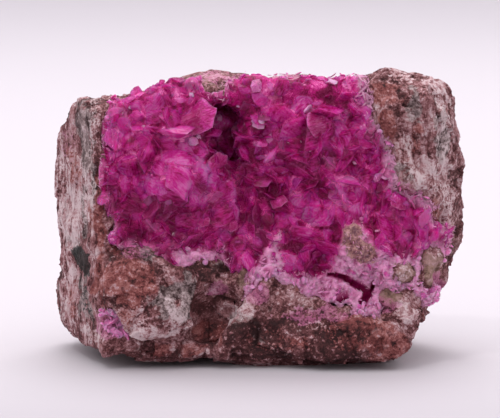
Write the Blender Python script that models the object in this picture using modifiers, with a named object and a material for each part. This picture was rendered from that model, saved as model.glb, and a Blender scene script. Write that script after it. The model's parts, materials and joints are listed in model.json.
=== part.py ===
"""A cobaltoan calcite specimen: a broken block of host rock with a druse of pink crystals on its front.

The frame has +X to the right seen from the front, +Y to the back and +Z up. The origin lies under the
middle of the specimen, on the surface that it stands on. Every length is in metres, by way of MM.
"""

import itertools
import math
import random
from typing import NamedTuple

import bmesh
import bpy
from mathutils import Matrix, Vector, noise
from mathutils.bvhtree import BVHTree

MM = 0.001

# Driving dimensions of the block
DEPTH = 38 * MM
SKIN_VOXEL = 0.85 * MM
BED_VOXEL = 0.8 * MM
ROCK_TRIANGLES = 3150
BED_TRIANGLES = 1100
GAP = 0.34 * MM
WELD = 0.002 * MM
CLEARING_ROUNDS = 12
LONGEST_CLEARING = 2.2 * MM
MIDDLE = (-0.1 * MM, -0.6 * MM)
NOISE_SEED = 11

# The block's outline from the front, as (x, z) in millimetres, clockwise from the lower left corner
BLOCK_OUTLINE = (
    (-36.5, 6.0), (-36.7, 12), (-36.6, 19), (-37.2, 27), (-36.9, 37), (-36.6, 45.0), (-35.2, 47.2),
    (-30.2, 46.7), (-25, 46.4), (-18.5, 48.4), (-14.5, 49.8), (-8.5, 51.4), (-1.5, 49.8), (5.5, 50.2),
    (15, 49.6), (19, 50.6), (22.5, 52.3), (28, 52.3), (31, 50.4), (33.8, 49.1), (34.8, 47.2),
    (34.4, 44.4), (36.3, 37.5), (37.4, 29), (36.5, 21), (34.2, 15.6), (30.4, 10.8), (28.4, 6.4),
    (26.4, 3.2), (25.0, 1.2), (22, -1), (-5, -1), (-9, 0.5), (-14, 0.5), (-18.5, 0.9), (-24, 2.1),
    (-31.6, 2.6), (-35.2, 3.6),
)

# The outline of the druse on the front, in the same way
DRUSE_OUTLINE = (
    (-26.2, 48.6), (-28.0, 44), (-28.4, 37), (-28.9, 32.5), (-28.0, 28.6), (-26.0, 25.6), (-26.4, 23),
    (-24.0, 21.4), (-18.3, 21.6), (-16.4, 18.6), (-12.6, 18.2), (-7.0, 19.5), (-5.2, 17.0),
    (-2.9, 16.6), (-3.6, 12.6), (-1.4, 12.4), (1, 14.9), (5.5, 14.4), (11, 11.4), (15.5, 10.8),
    (20.7, 8.6), (22.2, 11.6), (25.5, 13), (28.4, 12.4), (30.4, 10.4), (32.6, 13.4), (29.8, 17.8),
    (33, 20), (35.4, 23), (32, 26.9), (28.7, 31.4), (24.8, 33), (23.2, 36.6), (24.2, 39), (20.6, 44),
    (19.2, 49), (18.8, 56), (-19, 56), (-21.5, 50.4),
)
PATCH_OUTLINE = ((-28.2, 10.6), (-27.6, 6.8), (-24.4, 5.2), (-22.2, 6.9), (-24.4, 9.4), (-25.6, 11.4))


class Break(NamedTuple):
    """A flat fracture of the block: a point on it and the way it faces, in millimetres."""

    point: tuple
    facing: tuple


BREAKS = (
    Break((0, -17.4, 8), (0.02, -1, 0.065)),
    Break((-29.6, -15, 25), (-0.9, -0.44, 0.01)),
    Break((31.6, -13.5, 28), (0.92, -0.39, 0.03)),
    Break((0, -12.5, 50.6), (-0.03, -0.66, 0.75)),
    Break((0, -15.5, 1), (0.05, -0.62, -0.78)),
    Break((0, -4, 52.2), (0.02, 0.19, 0.98)),
    Break((0, 18.6, 20), (0.06, 0.99, 0.10)),
    Break((-30, 13, 20), (-0.66, 0.74, 0.10)),
    Break((30, 12, 22), (0.74, 0.66, -0.06)),
    Break((4, 14, 44), (0.14, 0.70, 0.70)),
    Break((-22, 10, 46), (-0.52, 0.42, 0.74)),
    Break((0, 15, 4), (-0.08, 0.66, -0.75)),
    Break((33, 6, 10), (0.80, 0.16, -0.58)),
    Break((-36.4, 4, 5.4), (-0.82, 0.12, -0.56)),
)


class Hollow(NamedTuple):
    """An ellipsoid carved out of the block, in millimetres, tipped by degrees about X."""

    centre: tuple
    radii: tuple
    tip: float


HOLLOWS = (
    Hollow((-6.6, -11, 44.6), (4.9, 8.5, 4.0), 18),
    Hollow((-5.8, -12, 39.6), (4.4, 7.5, 5.4), 4),
    Hollow((16.6, -14.5, 13.8), (3.6, 4.2, 1.1), 14),
)


class Relief(NamedTuple):
    """A rise, or a fall where lift is negative, of the front. Edge 1 is a soft dome, and 0.2 a plateau."""

    x: float
    z: float
    half_width: float
    half_height: float
    lift: float
    edge: float
    turn: float


RELIEFS = (
    Relief(-20.5, 14.5, 8.6, 7.6, 3.2, 0.40, 12),
    Relief(-26.5, 4.5, 7.0, 4.0, 1.6, 0.60, 0),
    Relief(-9.0, 8.4, 5.5, 3.2, -2.6, 0.55, 28),
    Relief(-2.8, 9.0, 2.6, 7.5, 1.6, 0.60, -38),
    Relief(14.0, 5.0, 15.0, 5.6, 2.0, 0.40, 3),
    Relief(-16.5, 22.6, 9.5, 1.9, -3.2, 0.80, -5),
    Relief(-14.2, 33.4, 6.6, 6.8, 4.4, 0.95, 0),
    Relief(-18.0, 42.5, 8.5, 5.5, 1.8, 0.90, 20),
    Relief(-3.6, 30.0, 5.0, 10.0, -3.4, 0.95, 8),
    Relief(9.5, 41.5, 10.0, 8.5, 1.9, 0.90, -20),
    Relief(10.0, 24.0, 9.0, 5.0, 1.4, 0.80, 15),
    Relief(27.0, 45.0, 8.0, 8.0, 1.8, 0.45, 0),
    Relief(27.5, 36.0, 5.0, 5.0, 0.9, 0.50, 0),
    Relief(18.2, 22.2, 3.6, 3.9, 0.9, 0.60, 0),
    Relief(24.3, 17.2, 2.4, 2.2, 1.2, 0.80, 0),
    Relief(30.0, 16.0, 2.8, 3.0, 1.4, 0.80, 0),
    Relief(-7.8, 50.4, 3.1, 2.6, 3.2, 0.90, 0),
)

# Where bare rock stands out of the druse, as (x, z, radius) in millimetres, and how far back it reaches
BARE = ((-7.8, 50.6, 2.4), (18.2, 22.2, 3.0), (24.3, 17.2, 1.7), (30.0, 16.0, 2.2))
DRUSE_BACK = -8.5

# The druse: how deep its bed lies in the rock, how thick it grows, and how far it thins out at its rim
BED_SUNK = 2.4 * MM
BED_THICK = 1.2 * MM
BED_RIM = 3.0 * MM
BED_ROOT = 1.2 * MM
PATCH_THICK = 0.8 * MM


class Crystals(NamedTuple):
    """One growth of crystals: spacing and half size in metres, flatness of the form, and the random seed."""

    spacing: float
    size: float
    flat: float
    seed: int


LARGE = Crystals(3.95 * MM, 3.05 * MM, 0.50, 4)
FRINGE = Crystals(3.3 * MM, 1.4 * MM, 0.62, 9)
SMALL = Crystals(1.7 * MM, 1.2 * MM, 0.60, 2)
FRINGE_WIDTH = 3.0 * MM
LEANS = (8, 20, 32, 48, 62, 76)

# The calm round cluster, as (x, z, radius) in millimetres, and where the growth turns fine and pale
CALM = (-14.2, 33.4, 7.5)
FINE_CORNER = (7.5, 21.0)
TOP_RIM = 45.5

ROCK_COLOUR = (0.24, 0.13, 0.12)
DRUSE_COLOUR = (0.30, 0.02, 0.12)
PATCH_COLOUR = (0.45, 0.10, 0.28)


def clear_scene():
    """Removes every object of the startup scene."""
    for obj in list(bpy.data.objects):
        bpy.data.objects.remove(obj)


def new_collection(name):
    made = bpy.data.collections.new(name)
    bpy.context.scene.collection.children.link(made)
    return made


def material(name, colour, roughness):
    """A Principled material of one colour."""
    made = bpy.data.materials.new(name)
    made.use_nodes = True
    shader = made.node_tree.nodes["Principled BSDF"]
    shader.inputs["Base Color"].default_value = (*colour, 1)
    shader.inputs["Roughness"].default_value = roughness
    return made


def object_of(name, bm, collection):
    """A new object that holds the bmesh, which is then freed."""
    mesh = bpy.data.meshes.new(name)
    bm.to_mesh(mesh)
    bm.free()
    made = bpy.data.objects.new(name, mesh)
    collection.objects.link(made)
    return made


def evaluated_bmesh(obj):
    """The object as its modifiers leave it, with its place applied."""
    bpy.context.view_layer.update()
    graph = bpy.context.evaluated_depsgraph_get()
    mesh = bpy.data.meshes.new_from_object(obj.evaluated_get(graph))
    bm = bmesh.new()
    bm.from_mesh(mesh)
    bm.transform(obj.matrix_world)
    bpy.data.meshes.remove(mesh)
    return bm


def smoothstep(low, high, value):
    share = min(max((value - low) / (high - low), 0), 1)
    return share * share * (3 - 2 * share)


def rim_distance(x, z, outline):
    """How far (x, z) lies inside the closed outline, in the outline's units, and below 0 outside it."""
    nearest, inside = math.inf, False
    for (ax, az), (bx, bz) in zip(outline, outline[1:] + outline[:1]):
        along = ((x - ax) * (bx - ax) + (z - az) * (bz - az)) / ((bx - ax) ** 2 + (bz - az) ** 2)
        along = min(max(along, 0), 1)
        nearest = min(nearest, math.hypot(x - ax - along * (bx - ax), z - az - along * (bz - az)))
        if (az > z) != (bz > z) and x < ax + (z - az) / (bz - az) * (bx - ax):
            inside = not inside
    return nearest if inside else -nearest


def druse_depth(point):
    """How far a point of the front lies inside the druse, in metres, and below 0 outside it."""
    x, z = point.x / MM, point.z / MM
    wander = 0.9 * noise.noise(Vector((x, 0, z)) / 3.1) + 0.5 * noise.noise(Vector((z, 5, x)) / 1.3)
    bare = min(math.hypot(x - at_x, z - at_z) - radius for at_x, at_z, radius in BARE)
    over_the_top = DRUSE_BACK + wander - point.y / MM
    return min(rim_distance(x, z, DRUSE_OUTLINE) + wander, bare + 0.4 * wander, over_the_top) * MM


def patch_depth(point):
    """The same for the small patch low on the left."""
    return rim_distance(point.x / MM, point.z / MM, PATCH_OUTLINE) * MM


def front_lift(point):
    """How far the front stands out at a point, beyond its fracture plane, in metres."""
    x, z = point.x / MM, point.z / MM
    total = 0.0
    for relief in RELIEFS:
        turn = math.radians(relief.turn)
        dx, dz = x - relief.x, z - relief.z
        along = (dx * math.cos(turn) + dz * math.sin(turn)) / relief.half_width
        across = (dz * math.cos(turn) - dx * math.sin(turn)) / relief.half_height
        total += relief.lift * smoothstep(0, relief.edge, 1 - math.hypot(along, across))
    return total * MM - BED_SUNK * smoothstep(-1 * MM, BED_RIM, druse_depth(point))


def chipped(point):
    """The height of a broken surface: small flat facets, each tilted and stepped in its own way."""
    height = 0.0
    for size, tilt, step in ((8.5 * MM, 0.30, 0.75 * MM), (3.6 * MM, 0.26, 0.32 * MM)):
        seed = noise.voronoi(point / size)[1][0]
        lean = noise.noise_vector(seed * 5.3)
        height += size * tilt * lean.dot(point / size - seed) + step * noise.noise(seed * 3.7)
    return height


def streaked(point):
    """The upright grooves of the sheared left side."""
    return 0.55 * MM * noise.noise(Vector((point.x / 2, point.y / 1.7, point.z / 14)) / MM)


def raw_block(collection):
    """The outline as a slab, cut along its fracture planes."""
    curve = bpy.data.curves.new("outline", "CURVE")
    curve.dimensions = "2D"
    curve.fill_mode = "BOTH"
    curve.extrude = DEPTH / 2
    spline = curve.splines.new("POLY")
    spline.points.add(len(BLOCK_OUTLINE) - 1)
    spline.use_cyclic_u = True
    for at, (x, z) in zip(spline.points, BLOCK_OUTLINE):
        at.co = (x * MM, z * MM, 0, 1)
    slab = bpy.data.objects.new("outline", curve)
    slab.matrix_world = Matrix.Rotation(math.pi / 2, 4, "X")
    collection.objects.link(slab)
    bm = evaluated_bmesh(slab)
    bpy.data.objects.remove(slab)
    bmesh.ops.remove_doubles(bm, verts=bm.verts, dist=1e-6)
    for cut in BREAKS:
        slice_off(bm, Vector(cut.point) * MM, Vector(cut.facing))
    bmesh.ops.recalc_face_normals(bm, faces=bm.faces)
    return object_of("host_rock", bm, collection)


def slice_off(bm, point, facing):
    """Cuts away what lies past a plane, and closes the cut."""
    parts = bm.verts[:] + bm.edges[:] + bm.faces[:]
    cut = bmesh.ops.bisect_plane(bm, geom=parts, plane_co=point, plane_no=facing, clear_outer=True)
    edges = [part for part in cut["geom_cut"] if isinstance(part, bmesh.types.BMEdge)]
    bmesh.ops.edgenet_fill(bm, edges=edges)


def carve(rock, cutters):
    """Cuts each hollow out of the rock with a ball of its own."""
    for number, hollow in enumerate(HOLLOWS):
        bm = bmesh.new()
        bmesh.ops.create_icosphere(bm, subdivisions=3, radius=1)
        ball = object_of(f"hollow_{number + 1}", bm, cutters)
        ball.location = Vector(hollow.centre) * MM
        ball.rotation_euler.x = math.radians(hollow.tip)
        ball.scale = Vector(hollow.radii) * MM
        ball.hide_render = True
        ball.display_type = "WIRE"
        cut = rock.modifiers.new(f"hollow {number + 1}", "BOOLEAN")
        cut.operation = "DIFFERENCE"
        cut.object = ball


def weather(bm):
    """Moves the skin of the block to its relief, its chipped facets and its streaks."""
    bm.normal_update()
    moves = []
    for vert in bm.verts:
        outward = vert.normal.copy()
        front = smoothstep(0.25, 0.7, -outward.y)
        left = smoothstep(0.5, 0.85, -outward.x)
        inside = smoothstep(-1 * MM, 1.5 * MM, druse_depth(vert.co)) * front
        rough = chipped(vert.co) * (1 - 0.75 * inside) + left * streaked(vert.co)
        moves.append(outward * rough + Vector((0, -front * front_lift(vert.co), 0)))
    for vert, move in zip(bm.verts, moves):
        vert.co += move


def fused(bm, voxel, collection):
    """The same form as one clean skin, with an even mesh."""
    lump = object_of("fused", bm, collection)
    fuse = lump.modifiers.new("fuse", "REMESH")
    fuse.mode = "VOXEL"
    fuse.voxel_size = voxel
    made = evaluated_bmesh(lump)
    bpy.data.objects.remove(lump)
    return made


def reduced(bm, triangles, collection):
    """The same form with about so many triangles."""
    thinned = object_of("thinned", bm, collection)
    decimate = thinned.modifiers.new("thin", "DECIMATE")
    decimate.ratio = triangles / sum(len(face.vertices) - 2 for face in thinned.data.polygons)
    decimate.use_collapse_triangulate = True
    made = evaluated_bmesh(thinned)
    bpy.data.objects.remove(thinned)
    return made


def soften(bm):
    """Takes the edge off the skin, once over."""
    bmesh.ops.smooth_vert(bm, verts=bm.verts, factor=0.5, use_axis_x=True, use_axis_y=True, use_axis_z=True)


def host_rock(collection, cutters):
    """The block with its relief, standing on a flat foot."""
    block = raw_block(collection)
    carve(block, cutters)
    bm = fused(evaluated_bmesh(block), SKIN_VOXEL, collection)
    bpy.data.objects.remove(block)
    soften(bm)
    weather(bm)
    bm = fused(bm, SKIN_VOXEL, collection)
    soften(bm)
    bm = reduced(bm, ROCK_TRIANGLES, collection)
    slice_off(bm, Vector((0, 0, 0)), Vector((0, 0, -1)))
    keep_largest(bm)
    bm.transform(Matrix.Translation((-MIDDLE[0], -MIDDLE[1], 0)))
    return object_of("host_rock", bm, collection)


def keep_largest(bm):
    """Leaves only the piece with the most vertices."""
    left, pieces = set(bm.verts), []
    while left:
        todo = [left.pop()]
        piece = set(todo)
        while todo:
            for edge in todo.pop().link_edges:
                for vert in edge.verts:
                    if vert in left:
                        left.remove(vert)
                        piece.add(vert)
                        todo.append(vert)
        pieces.append(piece)
    pieces.sort(key=len)
    for piece in pieces[:-1]:
        bmesh.ops.delete(bm, geom=list(piece), context="VERTS")


def grown(rock, name, collection, growth):
    """A copy of the rock with each vertex moved by growth(vertex)."""
    bm = bmesh.new()
    bm.from_mesh(rock.data)
    bm.normal_update()
    moves = [growth(vert) for vert in bm.verts]
    for vert, move in zip(bm.verts, moves):
        vert.co += move
    return object_of(name, bm, collection)


def clear_of_faces(vert):
    """The move that takes a corner of the rock clear of each of its faces by the gap."""
    move = vert.normal * GAP
    for _ in range(CLEARING_ROUNDS):
        for face in vert.link_faces:
            short = GAP - move.dot(face.normal)
            if short > 0:
                move += face.normal * short
    return move if move.length < LONGEST_CLEARING else move.normalized() * LONGEST_CLEARING


def growing_points(tree, depth, kind):
    """Points spread evenly over the surface where depth allows crystals.

    A jittered grid fills space, and each grid point near the surface is drawn onto it. Every point
    comes with the way that the surface faces, its depth in the druse and its own dice.
    """
    step = kind.spacing
    cells = itertools.product(
        range(int(-40 * MM / step), int(40 * MM / step)),
        range(int(-24 * MM / step), 1),
        range(0, int(58 * MM / step)),
    )
    for cell in cells:
        dice = random.Random(f"{kind.seed} {cell}")
        at = Vector([(place + dice.uniform(-0.3, 0.3)) * step for place in cell])
        if depth(at) < 0:
            continue
        point, outward, _, _ = tree.find_nearest(at)
        if (point - at).length < 0.5 * step and outward.y < 0.2 and depth(point) > 0:
            yield point, outward, depth(point), dice


def crystal(bm, at, outward, size, flat, dice):
    """Adds one flattened rhombohedron, leaning from the way the surface faces."""
    turn = Matrix.Rotation(dice.uniform(0, 2 * math.pi), 4, "Z")
    calm = smoothstep(0, 3, CALM[2] - math.hypot(at.x / MM - CALM[0], at.z / MM - CALM[1]))
    lean = math.radians((dice.choice(LEANS) + dice.uniform(-8, 8)) * (1 - 0.7 * calm))
    tilt = Matrix.Rotation(lean, 4, "X")
    spin = Matrix.Rotation(dice.uniform(0, 2 * math.pi), 4, "Z")
    stand = outward.to_track_quat("Z", "Y").to_matrix().to_4x4()
    on_corner = Vector((1, 1, 1)).to_track_quat("Z", "Y").inverted().to_matrix().to_4x4()
    flatten = Matrix.Diagonal((1, 1, flat, 1))
    place = Matrix.Translation(at) @ stand @ turn @ tilt @ flatten @ spin @ on_corner
    bmesh.ops.create_cube(bm, size=2 * size / math.sqrt(2), matrix=place)


def druse_crystals(tree, cutters):
    """The large crystals over the druse, and the small ones along its rim."""
    bm = bmesh.new()
    for at, outward, depth, dice in growing_points(tree, druse_depth, LARGE):
        if depth < FRINGE_WIDTH * 0.5:
            continue
        size = LARGE.size * dice.uniform(0.72, 1.2) * (0.6 + 0.4 * smoothstep(0, 5 * MM, depth))
        if at.x / MM > FINE_CORNER[0] and at.z / MM < FINE_CORNER[1]:
            size *= 0.65
        if at.z / MM > TOP_RIM:
            size *= 0.62
        crystal(bm, at + outward * BED_THICK, outward, size, LARGE.flat, dice)
    for at, outward, depth, dice in growing_points(tree, druse_depth, FRINGE):
        if depth < FRINGE_WIDTH:
            size = FRINGE.size * dice.uniform(0.7, 1.25)
            crystal(bm, at + outward * BED_THICK * 0.35, outward, size, FRINGE.flat, dice)
    return object_of("druse_crystals", bm, cutters)


def patch_crystals(tree, cutters):
    """The few small crystals of the patch."""
    bm = bmesh.new()
    for at, outward, _, dice in growing_points(tree, patch_depth, SMALL):
        size = SMALL.size * dice.uniform(0.75, 1.25)
        crystal(bm, at + outward * PATCH_THICK * 0.4, outward, size, SMALL.flat, dice)
    return object_of("patch_crystals", bm, cutters)


def druse_bed(rock, collection):
    """The mass that the crystals of the druse stand on: it swells out of the rock and thins at its rim."""

    def growth(vert):
        inside = druse_depth(vert.co)
        if vert.normal.y > 0.2 or inside < 0:
            return -BED_ROOT * vert.normal
        return (BED_THICK * smoothstep(0, BED_RIM, inside) + GAP * 0.5) * vert.normal

    swollen = grown(rock, "swollen", collection, growth)
    skin = reduced(fused(evaluated_bmesh(swollen), BED_VOXEL, collection), BED_TRIANGLES, collection)
    bpy.data.objects.remove(swollen)
    return object_of("druse_bed", skin, collection)


def boolean(obj, operation, other):
    """Joins the other object to this one, or cuts it away."""
    step = obj.modifiers.new(operation.lower(), "BOOLEAN")
    step.operation = operation
    step.object = other
    step.use_self = True


def one_crust(name, grown_mass, collection):
    """The mass as its modifiers leave it, as a single crust with no crumbs."""
    bm = evaluated_bmesh(grown_mass)
    bmesh.ops.remove_doubles(bm, verts=bm.verts, dist=WELD)
    keep_largest(bm)
    return object_of(name, bm, collection)


def main():
    clear_scene()
    noise.seed_set(NOISE_SEED)
    specimen = new_collection("cobaltoan calcite specimen")
    cutters = new_collection("cutters")
    rock = host_rock(specimen, cutters)
    rock.data.materials.append(material("host rock", ROCK_COLOUR, 0.85))
    tree = BVHTree.FromObject(rock, bpy.context.evaluated_depsgraph_get())
    clearance = grown(rock, "clearance", cutters, clear_of_faces)

    bed = druse_bed(rock, cutters)
    crystals = druse_crystals(tree, cutters)
    boolean(bed, "UNION", crystals)
    boolean(bed, "DIFFERENCE", clearance)
    druse = one_crust("calcite_druse", bed, specimen)
    druse.data.materials.append(material("pink calcite", DRUSE_COLOUR, 0.25))

    few = patch_crystals(tree, cutters)
    boolean(few, "DIFFERENCE", clearance)
    patch = one_crust("calcite_patch", few, specimen)
    patch.data.materials.append(material("pale calcite", PATCH_COLOUR, 0.4))

    for helper in (clearance, bed, crystals, few):
        helper.hide_render = True
        helper.display_type = "WIRE"


if __name__ == "__main__":
    main()
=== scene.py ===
"""The look of a cobaltoan calcite specimen: granular host rock with a druse of lens-shaped pink crystals.

The frame has +X to the right seen from the front, +Y to the back and +Z up, in metres. Places on the
front are written as (x, z) in millimetres.
"""

import itertools
import json
import logging
import math
import random
from dataclasses import dataclass, field, replace
from enum import Enum
from typing import Any, Callable, Iterator, NamedTuple, Optional, Sequence, Union

import bmesh
import bpy
import numpy as np
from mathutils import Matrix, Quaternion, Vector, noise
from mathutils.bvhtree import BVHTree

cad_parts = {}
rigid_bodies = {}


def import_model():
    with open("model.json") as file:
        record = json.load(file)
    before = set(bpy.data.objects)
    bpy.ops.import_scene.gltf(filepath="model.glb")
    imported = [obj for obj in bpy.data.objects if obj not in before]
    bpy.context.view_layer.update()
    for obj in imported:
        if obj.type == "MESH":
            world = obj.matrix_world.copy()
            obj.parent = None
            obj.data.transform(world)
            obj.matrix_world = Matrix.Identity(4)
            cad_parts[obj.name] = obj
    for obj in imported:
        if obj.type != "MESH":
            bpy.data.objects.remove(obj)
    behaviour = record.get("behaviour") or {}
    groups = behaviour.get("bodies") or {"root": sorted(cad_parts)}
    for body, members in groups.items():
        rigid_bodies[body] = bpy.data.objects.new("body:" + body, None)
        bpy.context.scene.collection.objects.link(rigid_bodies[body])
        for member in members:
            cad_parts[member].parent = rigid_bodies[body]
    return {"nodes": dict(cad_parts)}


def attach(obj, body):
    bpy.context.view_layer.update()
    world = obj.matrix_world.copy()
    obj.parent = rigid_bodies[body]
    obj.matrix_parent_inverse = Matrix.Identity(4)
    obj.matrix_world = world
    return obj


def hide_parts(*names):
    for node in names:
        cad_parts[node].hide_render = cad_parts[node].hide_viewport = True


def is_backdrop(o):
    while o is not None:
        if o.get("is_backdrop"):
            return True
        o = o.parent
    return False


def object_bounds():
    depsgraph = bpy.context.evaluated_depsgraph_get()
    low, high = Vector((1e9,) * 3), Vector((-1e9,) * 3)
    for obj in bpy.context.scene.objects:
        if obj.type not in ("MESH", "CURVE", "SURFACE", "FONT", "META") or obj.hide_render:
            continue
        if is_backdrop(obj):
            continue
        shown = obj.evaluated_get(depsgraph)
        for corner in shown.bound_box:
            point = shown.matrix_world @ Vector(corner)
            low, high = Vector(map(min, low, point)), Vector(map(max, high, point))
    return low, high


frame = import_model()
CAD_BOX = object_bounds()

MM = 0.001
NOISE_SEED = 11
LOG = logging.getLogger("specimen")

Place = tuple[float, float]
Outline = tuple[Place, ...]
Triple = tuple[float, float, float]
Points = np.ndarray

# Places on the front

DRUSE_OUTLINE = (
    (-26.2, 48.6), (-28.0, 44), (-28.4, 37), (-28.9, 32.5), (-28.0, 28.6), (-26.0, 25.6),
    (-26.6, 23.2), (-24.8, 20.9), (-23.0, 22.4), (-21.4, 20.4), (-19.8, 21.8), (-18.0, 20.0),
    (-16.4, 18.2), (-12.6, 18.2), (-7.0, 19.5), (-5.2, 17.0), (-2.9, 16.6), (-3.6, 12.6), (-1.4, 12.4),
    (1, 14.9), (5.5, 14.4), (11, 11.4), (15.5, 10.8), (20.7, 8.6), (22.2, 11.6), (25.5, 13),
    (28.4, 12.4), (30.4, 10.4), (32.6, 13.4), (29.8, 17.8), (33, 20), (35.4, 23), (32, 26.9),
    (28.7, 31.4), (24.8, 33), (23.2, 36.6), (24.2, 39), (20.6, 44), (19.2, 49), (18.8, 56), (-19, 56),
    (-21.5, 50.4),
)
PATCH_OUTLINE = ((-28.2, 10.6), (-27.6, 6.8), (-24.4, 5.2), (-22.2, 6.9), (-24.4, 9.4), (-25.6, 11.4))
# Bare rock that stands out of the druse: x, z and radius
BARE = ((-7.8, 51.2, 2.1), (25.9, 17.0, 1.3), (30.7, 19.4, 1.4), (30.4, 16.2, 1.5))
# How far back over the top the druse reaches, as a y
DRUSE_BACK = -8.5
# The dark pocket, which the druse lines to its end: x, z, half width and half height
POCKET = (-6.4, 43.4, 6.0, 6.6)

# The pale, porous part of the druse, and the pale shelf below its undercut edge
POROUS_OUTLINE = (
    (-2.9, 17.0), (-0.5, 19.0), (2.2, 23.6), (4.2, 24.2), (3.8, 21.0), (5.5, 17.0), (9.0, 16.5),
    (12.4, 17.6), (13.6, 21.0), (14.6, 25.0), (16.6, 26.6), (18.8, 25.0), (20.4, 22.4), (24.0, 20.8),
    (29.3, 20.2), (33.7, 21.6), (33.5, 14.0), (30, 9.5), (24.0, 10), (20.5, 7), (12.5, 9), (7.2, 11),
    (2.2, 13), (-1.7, 11.5), (-4.5, 11.5), (-4.2, 14.9),
)
SHELF_OUTLINE = (
    (-16.0, 21.2), (-15.4, 19.2), (-14.4, 17.6), (-12.2, 17.6), (-8.7, 18.0), (-6.0, 19.6),
    (-6.2, 21.2), (-9.6, 21.5), (-13.1, 21.2), (-14.8, 20.8),
)
# The calm round cluster: x, z and radius
CALM = (-14.2, 33.4, 7.5)
# Right of this x and below this z the large crystals are smaller
FINE_CORNER = (7.5, 21.0)
# Above this z the crystals are so many times their size, and the druse stands so much higher
TOP_RIM = 45.5
TOP_SIZE = 0.62
TOP_RISE = 0.7
# Left of this x the rim's crystals keep a little inside the outline
LEFT_RIM = -22.0
# A y that lies in front of the whole specimen
IN_FRONT = -60

# The sheet's thickness and how far in from its rim it thins out, and how wide the crystals' fringe is
BED_THICK = 1.2
BED_RIM = 3.0
FRINGE_WIDTH = 3.0
# How far crystals lean from the way that the rock faces, in degrees
LEANS = (8, 20, 32, 48, 62, 76)
# A crystal's radius for each millimetre of its size
CRYSTAL_RADIUS = 1.155
# The share of the crystals that are clouded, and how much paler they are
CLOUDED_SHARE = 0.03
CLOUDED_PALLOR = 0.45
# What each crystal's mesh holds: the name, the key and how many numbers
HELD = (
    ("tone", "value", 1),
    ("rim", "value", 1),
    ("pallor", "value", 1),
    ("level", "value", 1),
    ("form", "vector", 3),
)


class Tint(Enum):
    """What a stain on the rock is made of, except that the dark one is partly painted shade. The value names
    the attribute that holds it.
    """

    PALE = "pale"
    GREY = "grey"
    RUST = "rust"
    DARK = "dark"
    PINK = "pink"
    TAN = "tan"


class Stain(NamedTuple):
    """A soft-edged patch on the rock, in millimetres, turned by degrees."""

    x: float
    z: float
    half_width: float
    half_height: float
    strength: float
    turn: float = 0.0


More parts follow.
